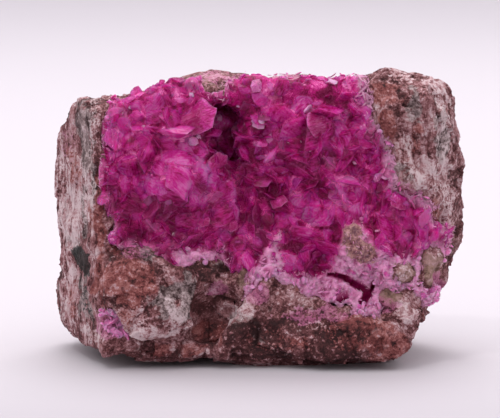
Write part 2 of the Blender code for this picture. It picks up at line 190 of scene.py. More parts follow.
# Each tint's stains: x, z, half width, half height, strength and, for some, a turn
STAIN_ROWS = {
    Tint.PALE: (
        (-34.2, 46.7, 2.2, 1.5, 0.60), (-34.0, 25.4, 2.6, 8.0, 1.00), (-33.2, 31.0, 3.8, 9.0, 0.60),
        (-30.0, 30.2, 0.9, 7.0, 0.55), (-34.4, 13.0, 1.6, 8.0, 0.75), (-29.4, 5.6, 3.4, 1.7, 0.55),
        (-18.4, 7.9, 5.8, 2.3, 1.00, 6), (-22.6, 10.6, 3.4, 2.6, 0.70), (-15.8, 10.6, 2.4, 2.6, 0.70),
        (-10.5, 3.0, 2.4, 1.1, 0.75), (-3.4, 9.6, 1.9, 5.2, 1.00, 42), (-6.4, 5.6, 1.5, 2.2, 0.70, 30),
        (10.5, 7.8, 2.2, 1.2, 0.40), (23.4, 2.8, 4.0, 1.8, 0.60), (13.0, 6.8, 2.0, 1.2, 0.45),
        (26.8, 11.2, 4.2, 3.0, 1.00, -40), (25.9, 17.5, 1.8, 1.5, 0.55), (30.9, 20.2, 1.4, 1.2, 0.45),
        (31.8, 50.0, 3.2, 2.4, 0.80), (0.0, 52.0, 24.0, 2.2, 0.70), (25.0, 51.6, 4.0, 1.4, 0.55),
        (32.8, 43.0, 2.4, 7.0, 0.60), (25.6, 39.0, 2.0, 3.6, 0.60), (28.6, 34.0, 4.0, 5.0, 0.85),
        (32.2, 35.0, 2.8, 5.0, 0.75), (33.8, 28.0, 2.0, 7.0, 0.65), (-34.0, 7.0, 2.0, 5.0, 0.35),
        (-36.6, 30.0, 1.6, 15.0, 0.60), (-35.6, 5.0, 2.4, 4.6, 0.45), (-29.2, 44.0, 1.4, 7.0, 0.45),
        (-7.6, 14.4, 2.0, 1.2, 0.60),
    ),
    Tint.GREY: (
        (-31.0, 41.0, 2.0, 8.0, 0.90), (-32.4, 45.4, 5.4, 5.0, 0.45), (-30.0, 33.0, 1.2, 6.0, 0.70),
        (-34.0, 22.0, 2.4, 3.6, 0.60), (-31.8, 27.0, 0.9, 6.0, 0.70), (-31.4, 12.0, 1.8, 5.6, 0.90),
        (-15.2, 13.2, 4.6, 4.4, 0.95), (-19.0, 20.8, 3.2, 1.3, 0.60), (27.0, 46.6, 2.4, 4.6, 0.70),
        (32.4, 42.0, 3.0, 7.0, 0.80), (24.8, 34.6, 2.4, 3.0, 0.55), (-3.8, 9.0, 2.4, 4.4, 0.45, 42),
        (9.0, 10.4, 4.0, 1.6, 0.45),
    ),
    Tint.RUST: (
        (-33.3, 35.0, 1.0, 5.0, 0.90, -12), (-34.2, 10.5, 1.2, 5.5, 0.60),
        (-28.6, 27.6, 1.7, 9.5, 1.00), (-27.4, 16.0, 2.2, 5.5, 0.90), (-25.0, 21.4, 3.4, 1.6, 0.80),
        (-22.9, 16.2, 5.0, 5.0, 1.00), (-23.3, 10.6, 2.4, 1.6, 0.95), (-9.0, 6.6, 3.4, 2.4, 0.60),
        (-14.0, 3.6, 6.0, 1.6, 0.60), (-6.5, 52.2, 1.7, 1.8, 0.95), (22.2, 48.6, 2.8, 3.0, 0.80),
        (22.7, 43.4, 1.8, 3.2, 0.95), (27.4, 41.0, 1.4, 3.4, 0.70), (30.2, 27.4, 2.4, 3.0, 0.75),
        (17.8, 6.8, 7.4, 3.6, 1.00), (22.0, 4.6, 5.0, 3.0, 0.90), (3.0, 5.0, 7.0, 2.6, 0.55),
        (30.0, 12.6, 2.2, 2.6, 0.60),
    ),
    # The dark stains are partly painted shade, in the recesses and undercuts below the druse, the shelf and
    # the slab, and partly darker rock along the bottom.
    Tint.DARK: (
        (-11.4, 17.4, 4.4, 1.7, 0.95), (-8.6, 9.2, 6.4, 3.8, 0.45, 25), (-17.0, 2.6, 9.0, 1.5, 0.60),
        (3.0, 5.6, 6.4, 4.4, 1.00), (12.0, 1.6, 9.0, 1.4, 0.60), (6.0, 5.0, 22.0, 6.0, 0.64),
        (17.0, 4.0, 8.0, 4.0, 0.40), (-24.0, 20.6, 5.0, 2.6, 0.55), (-24.6, 16.6, 4.0, 3.0, 0.35),
        (-26.6, 13.4, 1.6, 2.0, 0.60), (18.0, 10.2, 5.0, 0.9, 0.60, -10),
    ),
    Tint.PINK: (
        (-34.6, 39.0, 1.6, 4.0, 0.30), (-22.0, 20.6, 4.0, 1.4, 0.45), (-27.0, 7.6, 3.4, 3.4, 0.70),
        (2.0, 51.8, 19.0, 2.4, 1.00), (31.6, 13.6, 2.6, 3.4, 0.95), (25.6, 31.6, 2.6, 3.2, 0.55),
        (-7.4, 13.8, 2.6, 2.2, 0.85), (-0.6, 13.0, 2.6, 2.2, 0.75), (10.0, 9.6, 9.0, 1.8, 0.55),
        (22.0, 11.4, 4.0, 1.6, 0.60),
    ),
    Tint.TAN: (
        (16.0, 24.0, 3.0, 2.6, 0.95, -20), (18.0, 21.2, 3.8, 2.4, 0.90, 25),
        (26.0, 17.0, 2.4, 2.2, 0.80), (30.6, 17.8, 2.6, 3.6, 0.80), (23.2, 13.0, 2.4, 2.0, 0.80),
        (-9.0, 51.6, 2.2, 1.8, 0.70), (-3.0, 15.8, 2.0, 1.6, 0.65, 30),
    ),
}
STAINS = {tint: tuple(Stain(*row) for row in rows) for tint, rows in STAIN_ROWS.items()}
# The right shoulder is sheared as the left side is
SHEARED_SHOULDER = Stain(28.6, 37.0, 7.0, 13.0, 0.60)
# The dark mineral on the left side
SPOTS = (
    Stain(-32.3, 19.2, 1.6, 2.5, 1.0, -25),
    Stain(-31.0, 17.0, 1.1, 1.8, 0.9, -30),
    Stain(-31.3, 11.6, 1.2, 4.0, 0.50),
)

# Where the druse is brighter (+), or lies deeper with painted shade (-): x, z, half width, half height and
# amount
RELIEF_AND_SHADE = (
    (-11.5, 44.0, 6.0, 5.0, 0.20), (-18.6, 42.6, 2.4, 3.0, -0.45), (-15.4, 40.4, 2.0, 1.6, -0.45),
    (-14.5, 35.5, 7.0, 6.0, 0.45), (0.0, 49.5, 24.0, 3.6, 0.12), (-20.0, 47.0, 6.0, 2.6, 0.35),
    (-23.5, 38.0, 5.0, 9.0, 0.25), (16.0, 38.0, 8.0, 9.0, 0.20), (27.0, 26.0, 7.0, 5.0, 0.60),
    (-5.6, 43.0, 5.6, 9.0, -0.86), (-15.0, 28.0, 7.0, 3.0, -0.72), (2.4, 48.0, 2.4, 2.6, 0.20),
    (-4.4, 34.0, 4.4, 6.0, -0.50), (-21.0, 24.4, 7.5, 2.3, -0.80), (-10.5, 23.8, 4.5, 1.7, -0.75),
    (6.4, 41.0, 2.6, 3.6, -0.45), (9.0, 36.0, 4.0, 3.0, -0.35), (2.0, 28.0, 8.0, 4.0, -0.50),
    (14.0, 20.5, 3.4, 3.0, -0.45), (-1.5, 21.5, 4.0, 2.5, -0.60), (5.6, 21.0, 3.6, 3.0, -0.50),
    (-9.0, 39.0, 1.6, 2.6, -0.30),
)


class Mark(NamedTuple):
    """A crystal that stands out, or a small white one that is a painted highlight where light glints. It
    faces (x, z) against 1 forwards, and is turned by degrees.
    """

    x: float
    z: float
    size: float
    facing: Place
    pallor: float
    turn: float = 0.0


# The small white marks at (-20.4, 43.0), (-22.8, 46.2), (-3.8, 46.4), (-12.0, 48.4), (7.3, 40.4) and (8.8,
# 38.9), and the edge-on white ones at (8.3, 46.0) and (12.8, 50.6), are painted highlights: specks and lines
# of glint.
MARKS_AND_GLINTS = (
    Mark(-10.8, 44.4, 3.3, (-0.30, 0.45), 0.0, 25.0),
    Mark(-11.5, 40.5, 1.05, (0.1, 0.5), 0.60),
    Mark(-10.7, 41.2, 0.60, (0.8, 0.9), 0.90),
    Mark(-12.3, 39.9, 0.55, (-0.9, 0.2), 0.50),
    Mark(-12.0, 48.4, 0.50, (0.3, 0.6), 1.00),
    Mark(-7.4, 43.9, 0.75, (-0.2, 0.2), 0.50),
    Mark(-0.2, 43.3, 1.10, (0.0, 0.7), 0.75),
    Mark(0.3, 43.8, 0.60, (0.6, 1.2), 1.00),
    Mark(-1.0, 43.9, 0.50, (-0.7, 0.9), 0.90),
    Mark(-0.6, 50.0, 1.15, (0.3, 0.3), 0.45),
    Mark(2.2, 47.2, 1.80, (-0.2, 0.3), 0.10),
    Mark(2.0, 40.7, 0.85, (0.2, 0.2), 0.45),
    Mark(8.3, 46.0, 1.10, (2.4, -2.0), 1.00),
    Mark(10.3, 43.6, 2.60, (0.55, 0.25), 0.12, 12.0),
    Mark(-7.6, 36.4, 2.00, (0.7, -0.2), 0.12, 40.0),
    Mark(24.6, 29.6, 1.80, (0.6, 0.7), 0.08, 70.0),
    Mark(3.4, 29.6, 1.50, (-0.5, 0.9), 0.05, 10.0),
    Mark(12.8, 50.6, 1.10, (0.4, 3.6), 1.00),
    Mark(7.3, 40.4, 0.35, (1.8, 0.6), 1.00),
    Mark(8.8, 38.9, 0.30, (0.1, 0.6), 1.00),
    Mark(21.0, 33.6, 1.10, (0.6, 0.0), 0.35),
    Mark(16.8, 36.6, 0.45, (0.2, 0.7), 0.80),
    Mark(-20.4, 43.0, 0.30, (0.2, 0.6), 1.00),
    Mark(-22.8, 46.2, 0.35, (0.0, 0.8), 1.00),
    Mark(-3.8, 46.4, 0.35, (0.1, 0.9), 0.80),
    Mark(-9.8, 26.2, 1.10, (-0.3, 0.6), 0.08),
    Mark(-5.0, 25.4, 1.20, (0.1, 0.4), 0.06),
)


class Feature(NamedTuple):
    """A form on the front of the rock: what it follows, its width and its rise, in millimetres."""

    outline: Outline
    width: float
    rise: float
    closed: bool = False


FEATURES = (
    Feature(
        (
            (-30.5, 12.4), (-30.5, 19.6), (-25.4, 20.4), (-22.8, 21.9), (-19.5, 22.1), (-16.8, 20.0),
            (-15.0, 18.4), (-10.4, 16.8), (-9.7, 13.7), (-12.9, 12.0), (-12.6, 8.9), (-14.6, 5.4),
            (-18.0, 5.6), (-23.2, 7.6), (-24.6, 10.6), (-27.0, 12.6),
        ),
        0.55, 1.5, True,
    ),
    Feature(((-19.6, 10.4), (-15.4, 9.6)), 5.0, 1.3),
    Feature(((-28.0, 20.8), (-21.0, 21.4)), 4.5, -1.0),
    Feature(
        (
            (8.9, 3.0), (9.9, 6.1), (12.8, 8.4), (16.3, 9.1), (21.2, 8.4), (24.4, 8.4), (26.2, 5.5),
            (24.8, 2.3), (21.2, 0.9), (12.4, 0.9),
        ),
        0.8, 1.7, True,
    ),
    Feature(
        (
            (-9.2, 15.6), (-5.0, 14.8), (-2.6, 12.0), (-5.0, 7.6), (-8.0, 4.4), (-13.6, 4.6),
            (-13.2, 8.9), (-13.0, 11.4),
        ),
        1.2, -1.6, True,
    ),
    Feature(((-3.4, 3.6), (2.0, 4.2), (6.6, 3.4), (6.8, 6.8), (1.0, 8.4), (-2.0, 7.4)), 1.6, -0.6, True),
    Feature(((1.5, 15.0), (-0.8, 12.3), (-2.9, 9.1), (-4.9, 6.1), (-6.7, 3.4)), 1.7, 1.0),
    Feature(((-6.7, 13.8), (-3.0, 17.3)), 0.8, 1.0),
    Feature(((-14.5, 17.2), (-12.0, 15.9), (-8.4, 16.6)), 1.5, 0.9),
    Feature(((29.2, 49.0), (30.4, 42.8), (31.1, 36.5), (31.8, 30.2)), 1.5, 0.7),
    Feature(((22.4, 47.0), (24.0, 41.6), (26.4, 36.0), (28.6, 33.4)), 1.2, 0.6),
    Feature(((25.8, 17.0), (26.0, 17.0)), 1.8, 0.9),
    Feature(((26.2, 10.9), (26.4, 10.9)), 2.8, 0.9),
    Feature(((22.8, 12.9), (23.0, 12.9)), 2.0, 0.8),
    Feature(((30.8, 19.7), (30.9, 19.5)), 2.1, 0.9),
    Feature(((30.4, 16.3), (30.4, 16.1)), 1.9, 0.8),
    Feature(((16.2, 23.0), (18.6, 21.8)), 2.4, 0.5),
)


class Hollow(NamedTuple):
    """A cleft in the porous part: the line it follows and its half width, in millimetres."""

    line: Outline
    half_width: float


HOLLOWS = (
    Hollow(((12.4, 16.6), (15.0, 16.0), (17.4, 14.9)), 0.55),
    Hollow(((16.6, 15.2), (18.4, 14.1), (19.3, 12.9), (18.5, 11.7)), 0.90),
    Hollow(((19.6, 13.5), (20.4, 15.2)), 0.36),
    Hollow(((14.0, 12.4), (15.2, 12.7)), 0.70),
)


def smooth(low: float, high: float, value: Any) -> Any:
    """The smooth step from 0 at low to 1 at high, for a number or an array."""
    share = np.clip((value - low) / (high - low), 0.0, 1.0)
    return share * share * (3.0 - 2.0 * share)


def seen(points: Points) -> tuple[np.ndarray, np.ndarray]:
    """The points' x and z in millimetres, as they are seen from the front."""
    return points[:, 0] / MM, points[:, 2] / MM


def off_line(points: Points, line: Outline) -> np.ndarray:
    """How far points are from a line of straight runs, seen from the front.

    Args:
        points: places in metres, one a row.
        line: its corners as (x, z) in millimetres.

    Returns:
        Millimetres to the line.
    """
    x, z = seen(points)
    nearest = np.full(len(x), np.inf)
    for (ax, az), (bx, bz) in zip(line, line[1:]):
        along = ((x - ax) * (bx - ax) + (z - az) * (bz - az)) / ((bx - ax) ** 2 + (bz - az) ** 2)
        along = np.clip(along, 0.0, 1.0)
        nearest = np.minimum(nearest, np.hypot(x - ax - along * (bx - ax), z - az - along * (bz - az)))
    return nearest


def inside(points: Points, outline: Outline) -> np.ndarray:
    """How far points lie inside an outline, seen from the front.

    Args:
        points: places in metres, one a row.
        outline: its corners as (x, z) in millimetres.

    Returns:
        Millimetres to the outline, below 0 outside it.
    """
    x, z = seen(points)
    closed = outline + outline[:1]
    within = np.zeros(len(x), bool)
    for (ax, az), (bx, bz) in zip(closed, closed[1:]):
        if az != bz:
            crosses = (az > z) != (bz > z)
            within ^= crosses & (x < ax + (z - az) / (bz - az) * (bx - ax))
    nearest = off_line(points, closed)
    return np.where(within, nearest, -nearest)


def noise_at(points: Points, size: float, shift: float = 0.0) -> np.ndarray:
    """Smooth noise from -1 to 1 at each point, with features of about size metres."""
    offset = Vector((shift, shift * 0.7, shift * 1.3))
    return np.array([noise.noise(Vector(point) / size + offset) for point in points])


def wander(points: Points) -> np.ndarray:
    """How far the druse's edge wanders.

    Args:
        points: places in metres, one a row.

    Returns:
        Millimetres for each point.
    """
    result = np.empty(len(points))
    for at, (x, _, z) in enumerate(points / MM):
        result[at] = 0.9 * noise.noise(Vector((x, 0, z)) / 3.1) + 0.5 * noise.noise(Vector((z, 5, x)) / 1.3)
    return result


def druse_depth(points: Points) -> np.ndarray:
    """How far points lie inside the druse.

    Args:
        points: places in metres, one a row.

    Returns:
        Millimetres for each point, below 0 outside it.
    """
    x, y, z = (points / MM).T
    stray = wander(points) * (1.0 + 0.6 * right_share(points))
    bare = np.full(len(points), np.inf)
    for at_x, at_z, radius in BARE:
        bare = np.minimum(bare, np.hypot(x - at_x, z - at_z) - radius)
    pocket = np.hypot((x - POCKET[0]) / POCKET[2], (z - POCKET[1]) / POCKET[3])
    over_the_top = np.where(pocket < 1.0, np.inf, DRUSE_BACK + 2.2 * stray - y)
    return np.minimum(np.minimum(inside(points, DRUSE_OUTLINE) + stray, bare + 0.4 * stray), over_the_top)


def patch_depth(points: Points) -> np.ndarray:
    """The same for the small patch low on the left."""
    return inside(points, PATCH_OUTLINE)


def porous_share(points: Points) -> np.ndarray:
    """How far points belong to the pale, porous part of the druse.

    Args:
        points: places in metres, one a row.

    Returns:
        A share from 0 to 1 for each point.
    """
    stray = 0.9 * noise_at(points, 2.4 * MM, 3.0)
    zone = np.maximum(inside(points, POROUS_OUTLINE), inside(points, SHELF_OUTLINE))
    return smooth(-0.7, 1.3, zone + stray)


def right_share(points: Points) -> np.ndarray:
    """How far each point belongs to the druse's right, where its rim is pale and ragged, from 0 to 1."""
    return smooth(6.0, 16.0, points[:, 0] / MM)


def relief(points: Points) -> np.ndarray:
    """How bright (+) the druse is, or how deep (-) with painted shade on it.

    Args:
        points: places in metres, one a row.

    Returns:
        A number from -1 to 1 for each point.
    """
    x, z = seen(points)
    stray = 0.35 * noise_at(points, 2.2 * MM, 9.0)
    total = np.zeros(len(points))
    for at_x, at_z, half_width, half_height, amount in RELIEF_AND_SHADE:
        off = np.hypot((x - at_x) / half_width, (z - at_z) / half_height) + stray
        total += amount * smooth(1.15, 0.35, off)
    return np.clip(total, -1.0, 1.0)


def crown_rise(x: Any, z: Any) -> Any:
    """How much higher the druse stands along its top edge, in millimetres, for numbers or arrays of them."""
    return TOP_RISE * smooth(TOP_RIM, TOP_RIM + 3.5, z) * smooth(-8.0, -5.5, x)


def stain_share(points: Points, stain: Stain) -> np.ndarray:
    """How strongly a stain covers points.

    Args:
        points: places in metres, one a row.
        stain: the stain.

    Returns:
        A share from 0 to its strength for each point.
    """
    x, z = seen(points)
    x, z = x - stain.x, z - stain.z
    turn = math.radians(stain.turn)
    along = (x * math.cos(turn) - z * math.sin(turn)) / stain.half_width
    across = (z * math.cos(turn) + x * math.sin(turn)) / stain.half_height
    return stain.strength * smooth(0.0, 0.45, 1.0 - np.hypot(along, across))


def tan_share(points: Points) -> np.ndarray:
    """How far the tan rock shows through the druse at each point, from 0 to 1."""
    return np.max([stain_share(points, stain) for stain in STAINS[Tint.TAN]], axis=0)


def hollow_share(points: Points, wider: float = 0.0) -> np.ndarray:
    """How far points lie in a cleft.

    Args:
        points: places in metres, one a row.
        wider: millimetres that the clefts are wider by, to each side.

    Returns:
        A share from 0 to 1 for each point.
    """
    stray = 0.3 * noise_at(points, 1.5 * MM, 4.0)
    shares = [smooth(1.25, 0.45, (off_line(points, line) + stray) / (half + wider)) for line, half in HOLLOWS]
    return np.max(shares, axis=0)


# Mesh helpers


def in_scene(name: str, data: bpy.types.ID) -> bpy.types.Object:
    """A new object in the scene that holds the data.

    Args:
        name: the object's name.
        data: its mesh, light or camera.

    Returns:
        The object.
    """
    made = bpy.data.objects.new(name, data)
    bpy.context.scene.collection.objects.link(made)
    return made


def mesh_object(name: str, bm: bmesh.types.BMesh) -> bpy.types.Object:
    """A new object in the scene that holds a mesh.

    Args:
        name: the object's name.
        bm: its mesh, which is then freed.

    Returns:
        The object.
    """
    mesh = bpy.data.meshes.new(name)
    bm.to_mesh(mesh)
    bm.free()
    return in_scene(name, mesh)


def evaluated_mesh(obj: bpy.types.Object) -> bpy.types.Mesh:
    """An object's mesh as its modifiers leave it.

    Args:
        obj: the object.

    Returns:
        A new mesh.
    """
    bpy.context.view_layer.update()
    graph = bpy.context.evaluated_depsgraph_get()
    return bpy.data.meshes.new_from_object(obj.evaluated_get(graph))


def node_bmesh(name: str) -> bmesh.types.BMesh:
    """A copy of a CAD node's mesh, with its loose triangles joined.

    Args:
        name: the node's name.

    Returns:
        The copy.
    """
    bm = bmesh.new()
    bm.from_mesh(frame["nodes"][name].data)
    bmesh.ops.remove_doubles(bm, verts=bm.verts, dist=0.001 * MM)
    return bm


def fused(bm: bmesh.types.BMesh, voxel: float) -> bmesh.types.BMesh:
    """The same form as one even skin.

    Args:
        bm: a closed mesh, which is freed.
        voxel: the new mesh's edge length, in metres.

    Returns:
        The new mesh.
    """
    lump = mesh_object("fused", bm)
    fuse = lump.modifiers.new("fuse", "REMESH")
    fuse.mode = "VOXEL"
    fuse.voxel_size = voxel
    mesh = evaluated_mesh(lump)
    bpy.data.objects.remove(lump)
    made = bmesh.new()
    made.from_mesh(mesh)
    bpy.data.meshes.remove(mesh)
    return made


def soften(bm: bmesh.types.BMesh, rounds: int) -> None:
    """Smooths a mesh.

    Args:
        bm: the mesh.
        rounds: how many times.
    """
    for _ in range(rounds):
        bmesh.ops.smooth_vert(
            bm,
            verts=bm.verts,
            factor=0.5,
            use_axis_x=True,
            use_axis_y=True,
            use_axis_z=True,
        )


def places(bm: bmesh.types.BMesh) -> Points:
    """The vertices' places, one a row."""
    return np.array([vert.co[:] for vert in bm.verts])


def facings(bm: bmesh.types.BMesh) -> Points:
    """The vertices' normals, one a row."""
    bm.normal_update()
    return np.array([vert.normal[:] for vert in bm.verts])


def move_to(bm: bmesh.types.BMesh, points: Points) -> None:
    """Puts each vertex in its place."""
    for vert, point in zip(bm.verts, points):
        vert.co = point


def add_underside(bm: bmesh.types.BMesh, points: Points) -> None:
    """Closes an open sheet with an underside and a wall round its edge.

    Args:
        bm: the sheet.
        points: where the underside's vertices lie, in the order of the sheet's.
    """
    above, sheet = list(bm.verts), list(bm.faces)
    rim = [edge.link_loops[0] for edge in bm.edges if edge.is_boundary]
    under = dict(zip(above, (bm.verts.new(point) for point in points)))
    for loop in rim:
        here, there = loop.vert, loop.link_loop_next.vert
        bm.faces.new((there, here, under[here], under[there]))
    for face in sheet:
        bm.faces.new([under[vert] for vert in reversed(face.verts)])


def note(bm: bmesh.types.BMesh, name: str, values: np.ndarray) -> None:
    """Stores one number for each vertex of a mesh under construction.

    Args:
        bm: the mesh.
        name: the numbers' name.
        values: the numbers.
    """
    layer = bm.verts.layers.float.new(name)
    for vert, value in zip(bm.verts, values):
        vert[layer] = value


def places_of(mesh: bpy.types.Mesh) -> Points:
    """Where a finished mesh's vertices are.

    Args:
        mesh: the mesh.

    Returns:
        Places in metres, one a row.
    """
    points = np.empty(3 * len(mesh.vertices))
    mesh.vertices.foreach_get("co", points)
    return points.reshape(-1, 3)


def paint(mesh: bpy.types.Mesh, name: str, values: np.ndarray) -> None:
    """Stores one number for each vertex, for a material to read."""
    layer = mesh.attributes.new(name, "FLOAT", "POINT")
    layer.data.foreach_set("value", np.asarray(values, np.float32))


def smooth_faces(obj: bpy.types.Object, sharp_angle: float = 180.0) -> None:
    """Shades an object smoothly.

    Args:
        obj: the object.
        sharp_angle: degrees past which an edge stays sharp.
    """
    obj.data.shade_smooth()
    if sharp_angle < 180.0:
        obj.data.set_sharp_from_angle(angle=math.radians(sharp_angle))


def dress(obj: bpy.types.Object, finish: bpy.types.Material) -> None:
    """Gives a piece its material and its body.

    Args:
        obj: the piece.
        finish: its material.
    """
    obj.data.materials.clear()
    obj.data.materials.append(finish)
    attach(obj, "root")
    LOG.info("%s: %d polygons", obj.name, len(obj.data.polygons))


# Shading

Number = Union[float, "Value"]
Colour = Triple
Settings = Optional[dict[str, Any]]
Sockets = Optional[dict[Union[str, int], Any]]


def add_node(
    tree: bpy.types.NodeTree,
    kind: str,
    settings: Settings = None,
    sockets: Sockets = None,
) -> bpy.types.Node:
    """Adds a node to a tree.

    Args:
        tree: a material's, a world's or a modifier's node tree.
        kind: the node's type.
        settings: its own settings, which are set first. A ramp's stops are (place, colour) pairs.
        sockets: values or links for its inputs, by name or number.

    Returns:
        The node.
    """
    made = tree.nodes.new(kind)
    for key, setting in (settings or {}).items():
        if key == "stops":
            set_stops(made.color_ramp, setting)
        else:
            setattr(made, key, setting)
    for key, given in (sockets or {}).items():
        given = given.socket if isinstance(given, Value) else given
        if isinstance(given, bpy.types.NodeSocket):
            tree.links.new(given, made.inputs[key])
        else:
            made.inputs[key].default_value = given
    return made


def set_stops(ramp: bpy.types.ColorRamp, stops: Sequence[tuple[float, Colour]]) -> None:
    """Gives a ramp its stops, in order.

    Args:
        ramp: a new ramp, which has two stops.
        stops: at least two (place, colour) pairs.
    """
    for at, (place, colour) in enumerate(stops):
        stop = ramp.elements[at] if at < 2 else ramp.elements.new(place)
        stop.position = place
        stop.color = (*colour, 1.0)


class Value:
    """A shader socket that carries a number, for use in an expression."""

    def __init__(self, shading: "Shading", socket: bpy.types.NodeSocket) -> None:
        """Wraps a socket of the shading's tree."""
        self.shading = shading
        self.socket = socket

    def math(self, operation: str, *others: Number) -> "Value":
        """Adds a Math node that works on this value and the others."""
        sockets = dict(enumerate((self, *others)))
        return Value(self.shading, self.shading.node("ShaderNodeMath", {"operation": operation}, sockets))

    def __add__(self, other: Number) -> "Value":
        """The sum."""
        return self.math("ADD", other)

    def __sub__(self, other: Number) -> "Value":
        """The difference."""
        return self.math("SUBTRACT", other)

    def __mul__(self, other: Number) -> "Value":
        """The product."""
        return self.math("MULTIPLY", other)

    def __pow__(self, other: Number) -> "Value":
        """The power."""
        return self.math("POWER", other)

    __radd__ = __add__
    __rmul__ = __mul__

    def __rsub__(self, other: float) -> "Value":
        """A number less this value."""
        return (self * -1.0) + other

    def clamped(self) -> "Value":
        """Holds the value between 0 and 1.

        Returns:
            The value so held.
        """
        made = self.math("ADD", 0.0)
        made.socket.node.use_clamp = True
        return made

    def step(self, low: float, high: float) -> "Value":
        """The smooth step of the value.

        Args:
            low: where it is 0.
            high: where it is 1.

        Returns:
            The step, from 0 to 1.
        """
        settings = {"interpolation_type": "SMOOTHSTEP"}
        sockets = {"Value": self, "From Min": low, "From Max": high}
        return Value(self.shading, self.shading.node("ShaderNodeMapRange", settings, sockets))


class Shading:
    """A material under construction."""

    def __init__(self, name: str) -> None:
        """Starts a material with nothing in it but its place.

        Args:
            name: the material's name.
        """
        self.material = bpy.data.materials.new(name)
        self.material.use_nodes = True
        self.tree = self.material.node_tree
        self.tree.nodes.clear()
        self.place = self.node("ShaderNodeTexCoord", output="Object")

    def node(
        self,
        kind: str,
        settings: Settings = None,
        sockets: Sockets = None,
        output: Union[str, int] = 0,
    ) -> bpy.types.NodeSocket:
        """Adds a node as add_node does, and returns the output of that name or number."""
        return add_node(self.tree, kind, settings, sockets).outputs[output]

    def attribute(self, name: str) -> Value:
        """A number that the mesh holds for each vertex."""
        return Value(self, self.node("ShaderNodeAttribute", {"attribute_name": name}, output="Fac"))

    def noise(
        self,
        size: float,
        detail: float = 3.0,
        distort: float = 0.0,
        stretch: Triple = (1, 1, 1),
    ) -> Value:
        """Noise from 0 to 1.

        Args:
            size: how large its features are, in metres.
            detail: how many finer layers it has.
            distort: how much it is warped.
            stretch: how many times longer its features are along x, y and z.

        Returns:
            The noise.
        """
        scale = tuple(1.0 / (size * times) for times in stretch)
        place = self.node("ShaderNodeMapping", sockets={"Vector": self.place, "Scale": scale})
        sockets = {"Vector": place, "Scale": 1.0, "Detail": detail, "Distortion": distort}
        return Value(self, self.node("ShaderNodeTexNoise", {"noise_dimensions": "3D"}, sockets, "Fac"))

    def grains(self, size: float) -> Value:
        """One random number for each grain.

        Args:
            size: the grains' size, in metres.

        Returns:
            The number, from 0 to 1.
        """
        sockets = {"Vector": self.place, "Scale": 1.0 / size}
        colour = self.node("ShaderNodeTexVoronoi", {"feature": "F1"}, sockets, "Color")
        return Value(self, self.node("ShaderNodeSeparateColor", sockets={0: colour}))

    def ramp(self, value: Value, *stops: tuple[float, Colour]) -> bpy.types.NodeSocket:
        """A colour that follows a value through its stops."""
        return self.node("ShaderNodeValToRGB", {"stops": stops}, {0: value})

    def mix(self, below: Any, above: Any, share: Number) -> bpy.types.NodeSocket:
        """Lays one colour over another.

        Args:
            below: the colour below, or its socket.
            above: the colour above, or its socket.
            share: how far the colour above covers it, from 0 to 1.

        Returns:
            The mixed colour.
        """
        sockets: dict[Union[str, int], Any] = {0: share}
        for key, given in ((6, below), (7, above)):
            sockets[key] = given if isinstance(given, bpy.types.NodeSocket) else (*given, 1.0)
        return self.node("ShaderNodeMix", {"data_type": "RGBA"}, sockets, 2)

    def bump(self, height: Value, depth: float) -> bpy.types.NodeSocket:
        """A normal that a height from 0 to 1 raises by that many metres."""
        return self.node("ShaderNodeBump", sockets={"Height": height, "Distance": depth, "Strength": 1.0})

    def finish(self, sockets: dict[str, Any]) -> bpy.types.Material:
        """Ends the material.

        Args:
            sockets: values or links for its Principled shader's inputs.

        Returns:
            The material.
        """
        surface = self.node("ShaderNodeBsdfPrincipled", sockets=sockets)
        add_node(self.tree, "ShaderNodeOutputMaterial", sockets={"Surface": surface})
        return self.material


